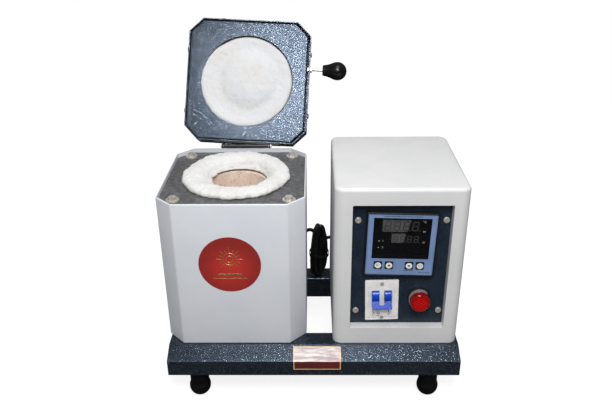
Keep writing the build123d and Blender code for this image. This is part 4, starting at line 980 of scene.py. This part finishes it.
def firedClay(name, look):
    material, tree, shader = newMaterial(name, Roughness=0.9)
    place = objectPlace(tree)
    grains = addNode(tree, "TexVoronoi", {"Vector": place, "Scale": 420.0}).outputs
    slow = ramp(tree, cloud(tree, place, 22.0, 4.0, 0.6), 0.3, 0.7)
    toned = blendColour(tree, slow, opaque(look["colour"]), opaque(look["burnt"]))
    specks = addNode(tree, "SeparateColor", {0: grains["Color"]}).outputs[0]
    speckled = blendColour(tree, ramp(tree, specks, 0.85, 0.97, 0.0, 0.5), toned, opaque(look["speck"]))
    feed(tree, shader.inputs["Base Color"], speckled)
    rough = calc(tree, "ADD", cloud(tree, place, 1.6, 4.0, 0.6), calc(tree, "MULTIPLY", grains["Distance"], 0.4))
    bumped(tree, shader, rough, 0.5)
    return material


paints = {
    "hammerBlue": {"colour": (0.042, 0.058, 0.084), "dark": (0.032, 0.046, 0.068), "fleck": (0.36, 0.39, 0.43), "specular": 0.5,
                   "worn": (0.55, 0.56, 0.56), "size": 1.0, "depth": 0.38, "roughness": 0.17, "coat": 0.0, "wear": 0.8,
                   "metal": 0.75},
    "panelBlue": {"colour": (0.012, 0.024, 0.043), "dark": (0.009, 0.018, 0.034), "fleck": (0.04, 0.05, 0.07), "specular": 0.4,
                  "worn": (0.06, 0.08, 0.11), "size": 1.6, "depth": 0.12, "roughness": 0.42, "coat": 0.0, "wear": 0.4,
                  "metal": 0.0},
}
satins = {
    "furnacePaint": {"colour": (0.655, 0.675, 0.715), "shade": (0.625, 0.648, 0.690), "worn": (0.33, 0.33, 0.33), "grain": 1.1,
                     "depth": 0.035, "roughness": 0.42, "coat": 0.1, "wear": 0.25, "dust": 0.05, "scuffs": 0.25},
    "boxPaint": {"colour": (0.66, 0.66, 0.665), "shade": (0.63, 0.632, 0.638), "worn": (0.42, 0.41, 0.40), "grain": 1.1,
                 "depth": 0.035, "roughness": 0.42, "coat": 0.1, "wear": 0.25, "dust": 0.05, "scuffs": 0.25},
    "platePaint": {"colour": (0.078, 0.079, 0.084), "shade": (0.063, 0.064, 0.069), "worn": (0.30, 0.29, 0.28), "grain": 0.9,
                   "depth": 0.04, "roughness": 0.45, "coat": 0.05, "wear": 0.5, "dust": 0.25, "scuffs": 0.4},
    "hingeEnamel": {"colour": (0.014, 0.014, 0.016), "shade": (0.010, 0.010, 0.011), "worn": (0.22, 0.21, 0.20), "grain": 0.7,
                    "depth": 0.03, "roughness": 0.36, "coat": 0.1, "wear": 0.7, "dust": 0.15, "scuffs": 0.4},
}
metals = {
    "zincSteel": {"colour": (0.66, 0.64, 0.58), "stain": (0.50, 0.47, 0.40), "bright": (0.85, 0.84, 0.80), "metal": 0.5,
                  "roughness": 0.30, "grain": 0.5, "depth": 0.02, "stretch": (1, 1, 1)},
    "zincSheet": {"colour": (0.55, 0.55, 0.53), "stain": (0.42, 0.42, 0.40), "bright": (0.75, 0.75, 0.73), "metal": 1.0,
                  "roughness": 0.38, "grain": 0.8, "depth": 0.02, "stretch": (0.15, 1, 1)},
    "chromeRod": {"colour": (0.36, 0.37, 0.39), "stain": (0.30, 0.31, 0.32), "bright": (0.8, 0.8, 0.8), "metal": 1.0,
                  "roughness": 0.16, "grain": 0.4, "depth": 0.008, "stretch": (0.1, 1, 1)},
    "resistanceWire": {"colour": (0.16, 0.14, 0.13), "stain": (0.09, 0.08, 0.07), "bright": (0.25, 0.22, 0.20), "metal": 0.8,
                       "roughness": 0.6, "grain": 0.3, "depth": 0.02, "stretch": (1, 1, 1)},
    "plugBrass": {"colour": (0.75, 0.57, 0.27), "stain": (0.58, 0.42, 0.18), "bright": (0.9, 0.72, 0.4), "metal": 1.0,
                  "roughness": 0.25, "grain": 0.4, "depth": 0.01, "stretch": (0.1, 1, 1)},
}
mouldings = {
    "ballPlastic": {"colour": (0.004, 0.004, 0.005), "worn": (0.03, 0.03, 0.03), "grain": 0.6, "depth": 0.012, "roughness": 0.34, "wear": 0.3, "dust": 0.03},
    "knobPlastic": {"colour": (0.006, 0.006, 0.007), "worn": (0.02, 0.02, 0.02), "grain": 0.9, "depth": 0.006, "roughness": 0.26, "wear": 0.2, "dust": 0.02},
    "meterPlastic": {"colour": (0.009, 0.010, 0.013), "worn": (0.05, 0.05, 0.055), "grain": 0.4, "depth": 0.02, "roughness": 0.42, "wear": 0.3, "dust": 0.02},
    "keyRubber": {"colour": (0.008, 0.008, 0.010), "worn": (0.04, 0.04, 0.04), "grain": 0.4, "depth": 0.015, "roughness": 0.5, "wear": 0.3, "dust": 0.0},
    "keyWhite": {"colour": (0.80, 0.80, 0.79), "worn": (0.6, 0.6, 0.58), "grain": 0.4, "depth": 0.008, "roughness": 0.45, "wear": 0.2, "dust": 0.0},
    "printBlack": {"colour": (0.015, 0.016, 0.022), "worn": (0.05, 0.05, 0.06), "grain": 0.4, "depth": 0.005, "roughness": 0.5, "wear": 0.1, "dust": 0.0},
    "printGrey": {"colour": (0.20, 0.20, 0.20), "worn": (0.3, 0.3, 0.3), "grain": 0.4, "depth": 0.005, "roughness": 0.5, "wear": 0.1, "dust": 0.0},
    "printWhite": {"colour": (0.55, 0.55, 0.54), "worn": (0.4, 0.4, 0.4), "grain": 0.4, "depth": 0.005, "roughness": 0.5, "wear": 0.1, "dust": 0.0},
    "segmentGrey": {"colour": (0.26, 0.26, 0.255), "worn": (0.2, 0.2, 0.2), "grain": 0.5, "depth": 0.01, "roughness": 0.5, "wear": 0.1, "dust": 0.0},
    "creamPlastic": {"colour": (0.88, 0.865, 0.845), "worn": (0.6, 0.58, 0.54), "grain": 0.5, "depth": 0.015, "roughness": 0.38, "wear": 0.15, "dust": 0.02},
    "relayPlastic": {"colour": (0.55, 0.54, 0.50), "worn": (0.4, 0.4, 0.38), "grain": 0.6, "depth": 0.02, "roughness": 0.45, "wear": 0.2, "dust": 0.05},
    "bluePlastic": {"colour": (0.004, 0.060, 0.52), "worn": (0.10, 0.22, 0.70), "grain": 0.7, "depth": 0.01, "roughness": 0.24, "wear": 0.25, "dust": 0.0, "coat": 0.15},
    "blackPlastic": {"colour": (0.010, 0.010, 0.011), "worn": (0.05, 0.05, 0.05), "grain": 0.4, "depth": 0.02, "roughness": 0.42, "wear": 0.3, "dust": 0.04},
    "leadSheath": {"colour": (0.010, 0.010, 0.011), "worn": (0.05, 0.05, 0.05), "grain": 0.5, "depth": 0.02, "roughness": 0.30, "wear": 0.1, "dust": 0.02, "blotch": 25.0},
    "probeSheath": {"colour": (0.70, 0.65, 0.56), "worn": (0.5, 0.45, 0.4), "grain": 0.6, "depth": 0.02, "roughness": 0.7, "wear": 0.2, "dust": 0.0},
}
fibres = {
    "collarFibre": {"colour": (0.70, 0.70, 0.695), "warm": (0.67, 0.66, 0.64), "shade": (0.46, 0.45, 0.43), "size": 3.0, "depth": 1.3},
    "padFibre": {"colour": (0.61, 0.62, 0.64), "warm": (0.61, 0.605, 0.60), "shade": (0.50, 0.50, 0.505), "size": 3.4, "depth": 0.55},
    "boardFibre": {"colour": (0.80, 0.78, 0.74), "warm": (0.74, 0.70, 0.64), "shade": (0.6, 0.57, 0.52), "size": 2.5, "depth": 0.5},
}
clay = {"colour": (0.84, 0.69, 0.58), "burnt": (0.74, 0.58, 0.48), "speck": (0.5, 0.38, 0.30)}

finish = {}
for name, look in paints.items():
    finish[name] = hammerPaint(name, look)
for name, look in satins.items():
    finish[name] = satinPaint(name, look)
for name, look in metals.items():
    finish[name] = metalFinish(name, look)
for name, look in mouldings.items():
    finish[name] = moulded(name, look)
for name, look in fibres.items():
    finish[name] = ceramicFibre(name, look)
finish["fireclay"] = firedClay("fireclay", clay)


def localPlace(tree, plane):
    # object coordinates turned into a plane's own across, up and out, in millimetres
    back = plane.inverted()
    turned = addNode(tree, "Mapping", {"Vector": objectPlace(tree), "Location": [v * 1000 for v in back.to_translation()],
                                       "Rotation": back.to_euler(), "Scale": (1000, 1000, 1000)}).outputs[0]
    return addNode(tree, "SeparateXYZ", {0: turned}).outputs


def filmFinish():
    # the controller's printed film, with a darker hairline just inside its edge
    material, tree, shader = newMaterial("printedFilm", Coat_Weight=0.35, Coat_Roughness=0.15)
    across, up, _ = localPlace(tree, meterPlane)
    reach = calc(tree, "MAXIMUM", calc(tree, "ABSOLUTE", across), calc(tree, "ABSOLUTE", up))
    hairline = calc(tree, "COMPARE", reach, 45.0)
    hairline.node.inputs[2].default_value = 0.25
    grain = useGroup(tree, "grain", Grain=0.4, Blotch=30.0)
    toned = blendColour(tree, ramp(tree, grain["Tone"], 0.3, 0.7), (0.155, 0.235, 0.42, 1.0), (0.185, 0.275, 0.49, 1.0))
    feed(tree, shader.inputs["Base Color"], blendColour(tree, hairline, toned, (0.10, 0.13, 0.24, 1.0)))
    feed(tree, shader.inputs["Roughness"], ramp(tree, grain["Tone"], 0.3, 0.7, 0.33, 0.42))
    bumped(tree, shader, grain["Height"], 0.01)
    return material


def windowFinish():
    # a smoked pane: dark, glossy, and just clear enough to show the digits
    material, tree, shader = newMaterial("smokedPane", Roughness=0.08, IOR=1.49)
    grain = useGroup(tree, "grain", Grain=1.2, Blotch=18.0)
    feed(tree, shader.inputs["Base Color"], blendColour(tree, grain["Tone"], (0.004, 0.004, 0.005, 1.0), (0.008, 0.008, 0.010, 1.0)))
    feed(tree, shader.inputs["Alpha"], ramp(tree, grain["Tone"], 0.3, 0.7, 0.36, 0.40))
    bumped(tree, shader, grain["Height"], 0.004)
    return material


def moduleFinish():
    # the digits' backing: its left part is painted pale, a painted patch of light falling through the window, and the
    # rest near black, painted shade
    material, tree, shader = newMaterial("digitBacking", Roughness=0.55)
    across, up, _ = localPlace(tree, meterPlane)
    slanted = calc(tree, "SUBTRACT", across, calc(tree, "MULTIPLY", up, 0.25))
    # painted light left of a slanted line, painted shade to its right
    lit = ramp(tree, slanted, 1.5, 3.5, 1.0, 0.0)
    grain = useGroup(tree, "grain", Grain=0.8, Blotch=9.0)
    pale = blendColour(tree, grain["Tone"], (0.42, 0.42, 0.41, 1.0), (0.52, 0.51, 0.50, 1.0))
    feed(tree, shader.inputs["Base Color"], blendColour(tree, lit, (0.010, 0.010, 0.010, 1.0), pale))
    bumped(tree, shader, grain["Height"], 0.02)
    return material


def lensFinish():
    # clear red, darker towards its rim
    material, tree, shader = newMaterial("redLens", Roughness=0.16, Coat_Weight=0.3, Coat_Roughness=0.04,
                                         Subsurface_Weight=0.15, Subsurface_Radius=(0.006, 0.001, 0.001))
    across, up, _ = localPlace(tree, lampPlane)
    radius = addNode(tree, "Math", {0: calc(tree, "ADD", calc(tree, "MULTIPLY", across, across),
                                            calc(tree, "MULTIPLY", up, up))}, operation="SQRT").outputs[0]
    feed(tree, shader.inputs["Base Color"], blendColour(tree, ramp(tree, radius, 8.0, 14.0), (0.46, 0.001, 0.002, 1.0), (0.20, 0.001, 0.001, 1.0)))
    feed(tree, shader.inputs["Normal"], addNode(tree, "Bump", {"Height": cloud(tree, objectPlace(tree), 1.2), "Distance": 0.02 * mm}).outputs[0])
    return material


def lampFinish():
    # the lamp's body: a black flange against the panel, partly its own black and partly painted shade round the lamp,
    # and a collar round the lens that is pale only on its upper left, a painted highlight, and black elsewhere as
    # painted shade
    material, tree, shader = newMaterial("lampBody")
    across, up, out = localPlace(tree, lampPlane)
    paintedHighlightSide = ramp(tree, calc(tree, "SUBTRACT", up, across), -2.0, 6.0)
    # the pale collar is a painted highlight on its upper left only
    collar = calc(tree, "MULTIPLY", ramp(tree, out, 3.0, 3.3), paintedHighlightSide)
    grain = useGroup(tree, "grain", Grain=0.5, Blotch=8.0)
    pale = blendColour(tree, grain["Tone"], (0.40, 0.40, 0.40, 1.0), (0.55, 0.55, 0.54, 1.0))
    feed(tree, shader.inputs["Base Color"], blendColour(tree, collar, (0.012, 0.012, 0.014, 1.0), pale))
    feed(tree, shader.inputs["Metallic"], calc(tree, "MULTIPLY", collar, 0.6))
    feed(tree, shader.inputs["Roughness"], ramp(tree, grain["Tone"], 0.3, 0.7, 0.28, 0.4))
    bumped(tree, shader, grain["Height"], 0.015)
    return material


def badgeFinish():
    # red foil, brighter in the middle, with a darker rim
    material, tree, shader = newMaterial("redFoil", Coat_Weight=0.5, Coat_Roughness=0.1)
    across, up, _ = localPlace(tree, badgePlane)
    lowered = calc(tree, "ADD", up, 6.0)
    radius = addNode(tree, "Math", {0: calc(tree, "ADD", calc(tree, "MULTIPLY", across, across),
                                            calc(tree, "MULTIPLY", lowered, lowered))}, operation="SQRT").outputs[0]
    grain = useGroup(tree, "grain", Grain=0.3, Blotch=14.0)
    glow = blendColour(tree, ramp(tree, radius, 4.0, 42.0), (0.55, 0.030, 0.020, 1.0), (0.30, 0.020, 0.016, 1.0))
    feed(tree, shader.inputs["Base Color"], blendColour(tree, ramp(tree, grain["Tone"], 0.3, 0.7, 0.0, 0.15), glow, (0.10, 0.008, 0.008, 1.0)))
    feed(tree, shader.inputs["Roughness"], ramp(tree, grain["Tone"], 0.3, 0.7, 0.3, 0.4))
    bumped(tree, shader, grain["Height"], 0.006)
    return material


def goldFinish():
    material, tree, shader = newMaterial("goldPrint", Metallic=0.85)
    grain = useGroup(tree, "grain", Grain=0.3, Blotch=10.0)
    feed(tree, shader.inputs["Base Color"], blendColour(tree, ramp(tree, grain["Tone"], 0.3, 0.7), (0.62, 0.42, 0.16, 1.0), (0.86, 0.68, 0.36, 1.0)))
    feed(tree, shader.inputs["Roughness"], ramp(tree, grain["Tone"], 0.3, 0.7, 0.32, 0.48))
    bumped(tree, shader, grain["Height"], 0.006)
    return material


plateBorder = {"width": 1.3, "inset": 0.5}


def namePlateFinish():
    # a blank plate: pale foil on the slope, its paleness a painted reflection of the light above, dark red on the face,
    # and a gold border round both
    material, tree, shader = newMaterial("namePlate")
    low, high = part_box("name_plate")
    place = addNode(tree, "SeparateXYZ", {0: scaled(tree, objectPlace(tree), 1000.0)}).outputs
    foldZ = 70.5
    onFace = ramp(tree, place[2], foldZ - 0.3, foldZ + 0.3, 1.0, 0.0)
    side = calc(tree, "MINIMUM", calc(tree, "SUBTRACT", place[0], low.x * 1000),
                calc(tree, "SUBTRACT", high.x * 1000, place[0]))
    below = calc(tree, "SUBTRACT", place[2], low.z * 1000)
    above = calc(tree, "MULTIPLY", calc(tree, "SUBTRACT", high.y * 1000, place[1]), 1.12)
    edge = calc(tree, "MINIMUM", side, calc(tree, "MINIMUM", below, above))
    border = calc(tree, "COMPARE", edge, plateBorder["inset"] + plateBorder["width"] / 2)
    border.node.inputs[2].default_value = plateBorder["width"] / 2
    streaks = addNode(tree, "Mapping", {"Vector": objectPlace(tree), "Scale": (0.25, 1, 1)}).outputs[0]
    sheen = ramp(tree, cloud(tree, streaks, 5.0, 4.0, 0.6), 0.35, 0.65)
    # the slope's pale, streaked colours are a painted reflection of the light above
    foil = blendColour(tree, sheen, (0.62, 0.58, 0.54, 1.0), (0.44, 0.34, 0.38, 1.0))
    red = blendColour(tree, sheen, (0.16, 0.018, 0.016, 1.0), (0.10, 0.014, 0.014, 1.0))
    body = blendColour(tree, onFace, foil, red)
    feed(tree, shader.inputs["Base Color"], blendColour(tree, border, body, (0.72, 0.52, 0.24, 1.0)))
    feed(tree, shader.inputs["Metallic"], ramp(tree, onFace, 0.0, 1.0, 0.35, 0.1))
    feed(tree, shader.inputs["Roughness"], ramp(tree, sheen, 0.0, 1.0, 0.38, 0.52))
    bumped(tree, shader, cloud(tree, objectPlace(tree), 9.0, 2.0), 0.25)
    return material


finish["printedFilm"] = filmFinish()
finish["smokedPane"] = windowFinish()
finish["digitBacking"] = moduleFinish()
finish["redLens"] = lensFinish()
finish["lampBody"] = lampFinish()
finish["redFoil"] = badgeFinish()
finish["goldPrint"] = goldFinish()
finish["namePlate"] = namePlateFinish()

# what every node wears; a rounded copy wears what its node does
wears = {
    "hammerBlue": ["front_rail", "rear_rail", "lid_pan", "lid_face_plate", "lid_screws"],
    "panelBlue": ["front_panel"],
    "furnacePaint": ["furnace_casing"],
    "boxPaint": ["control_case", "rear_panel"],
    "platePaint": ["top_plate"],
    "hingeEnamel": ["hinge_body_bracket", "hinge_lid_bracket"],
    "zincSteel": ["foot_nuts", "housing_bolts", "tie_rods", "tie_rod_washers", "handle_nuts", "hinge_pin",
                  "hinge_body_screws", "hinge_lid_screws", "rear_panel_screws", "front_panel_screws", "breaker_screws"],
    "zincSheet": ["furnace_bottom_plate"],
    "chromeRod": ["handle_rod"],
    "ballPlastic": ["feet"],
    "knobPlastic": ["handle_knob"],
    "boardFibre": ["floor_board", "insulation_blanket", "lid_blanket"],
    "collarFibre": ["mouth_ring"],
    "padFibre": ["lid_pad"],
    "fireclay": ["hearth_brick", "muffle"],
    "resistanceWire": ["heating_coil"],
    "probeSheath": ["thermocouple"],
    "redFoil": ["badge"],
    "namePlate": ["name_plate"],
    "meterPlastic": ["controller_case", "controller_clamps"],
    "printedFilm": ["controller_film"],
    "smokedPane": ["display_window"],
    "digitBacking": ["display_modules"],
    "keyRubber": ["key_set", "key_up", "key_down", "key_enter"],
    "creamPlastic": ["breaker_body", "breaker_cover"],
    "bluePlastic": ["breaker_toggle"],
    "lampBody": ["lamp_body", "lamp_nut"],
    "redLens": ["lamp_lens"],
    "relayPlastic": ["solid_state_relay"],
    "blackPlastic": ["cord_gland", "plug_body"],
    "leadSheath": ["cord_lead", "cord_hank", "cord_tail"],
    "plugBrass": ["plug_pins"],
}


def wear(piece, name):
    if piece.material_slots:
        for held in piece.material_slots:
            held.material = finish[name]
    else:
        piece.data.materials.append(finish[name])


for name, worn in wears.items():
    for node in worn:
        wear(nodes[node], name)
        if node in soft:
            wear(soft[node], name)
for piece, name in [(mainsLead, "leadSheath"), (mouthCollar, "collarFibre"), (mouthHairs, "collarFibre"),
                    (padFibre, "padFibre"), (padHairs, "padFibre"), (padTufts, "padFibre"),
                    (bpy.data.objects["upperDigits"], "segmentGrey"), (bpy.data.objects["lowerDigits"], "segmentGrey"),
                    (windowPrint, "printWhite"), (filmPrint, "printBlack"), (pilotLens, "redLens"),
                    (coverSigns, "printBlack"), (coverLine, "printGrey"),
                    (badgeLines, "goldPrint"), (leadTie, "blackPlastic")]:
    wear(piece, name)
for piece in keyRounds:
    wear(piece, "keyWhite")
for piece in keySigns:
    wear(piece, "printBlack")
print("finishes given:", len(finish))

# the floor: white to the eye, with the object's own shadow on it
studio = {
    "floorSize": 30.0,
    "floorGlow": 0.84,
    "floorPaint": 0.30,
    "floorMirrored": 0.05,
    "fill": 0.52,
    "mirrorFill": 0.09,
    "keySize": (0.38, 0.50), "keyFrom": (0.105, -0.75, 0.61), "keyAt": (-0.11, 0.10, 0.40), "keyFar": 1.25, "keyPower": 12.0,
    "topSize": (0.21, 0.14), "topFrom": (0.06, 0.0, 1.0), "topAt": (0.0, -0.17, 0.08), "topFar": 1.25, "topPower": 2.3,
}


def makeFloor(look):
    bpy.ops.mesh.primitive_plane_add(size=look["floorSize"])
    floor = bpy.context.object
    floor.name = "studioFloor"
    material = bpy.data.materials.new("paleFloor")
    material.use_nodes = True
    tree = material.node_tree
    shader = tree.nodes["Principled BSDF"]
    shader.inputs["Roughness"].default_value = 0.9
    shader.inputs["Specular IOR Level"].default_value = 0.0
    shader.inputs["Emission Color"].default_value = (1, 1, 1, 1)
    path = addNode(tree, "LightPath").outputs
    feed(tree, shader.inputs["Emission Strength"], calc(tree, "MULTIPLY", path["Is Camera Ray"], look["floorGlow"]))
    paint, mirrored = opaque([look["floorPaint"]] * 3), opaque([look["floorMirrored"]] * 3)
    feed(tree, shader.inputs["Base Color"], blendColour(tree, path["Is Glossy Ray"], paint, mirrored))
    floor.data.materials.append(material)


def makeWorld(look):
    world = bpy.data.worlds.new("studioWorld")
    bpy.context.scene.world = world
    world.use_nodes = True
    tree = world.node_tree
    background = tree.nodes["Background"]
    path = addNode(tree, "LightPath").outputs
    seen = calc(tree, "MAXIMUM", path["Is Camera Ray"], path["Is Transmission Ray"])
    mirrored = ramp(tree, path["Is Glossy Ray"], 0.0, 1.0, look["fill"], look["mirrorFill"])
    background.inputs["Color"].default_value = (1, 1, 1, 1)
    feed(tree, background.inputs["Strength"], calc(tree, "MAXIMUM", seen, mirrored))


def areaLight(name, size, way, target, far, power):
    way = Vector(way).normalized()
    bpy.ops.object.light_add(type="AREA", location=Vector(target) + way * far)
    light = bpy.context.object
    light.name = name
    light.rotation_euler = way.to_track_quat("Z", "Y").to_euler()
    light.data.shape = "RECTANGLE"
    light.data.size, light.data.size_y = size
    light.data.energy = power


makeFloor(studio)
makeWorld(studio)
areaLight("softboxFront", studio["keySize"], studio["keyFrom"], studio["keyAt"], studio["keyFar"], studio["keyPower"])
areaLight("softboxTop", studio["topSize"], studio["topFrom"], studio["topAt"], studio["topFar"], studio["topPower"])
print("studio lit")
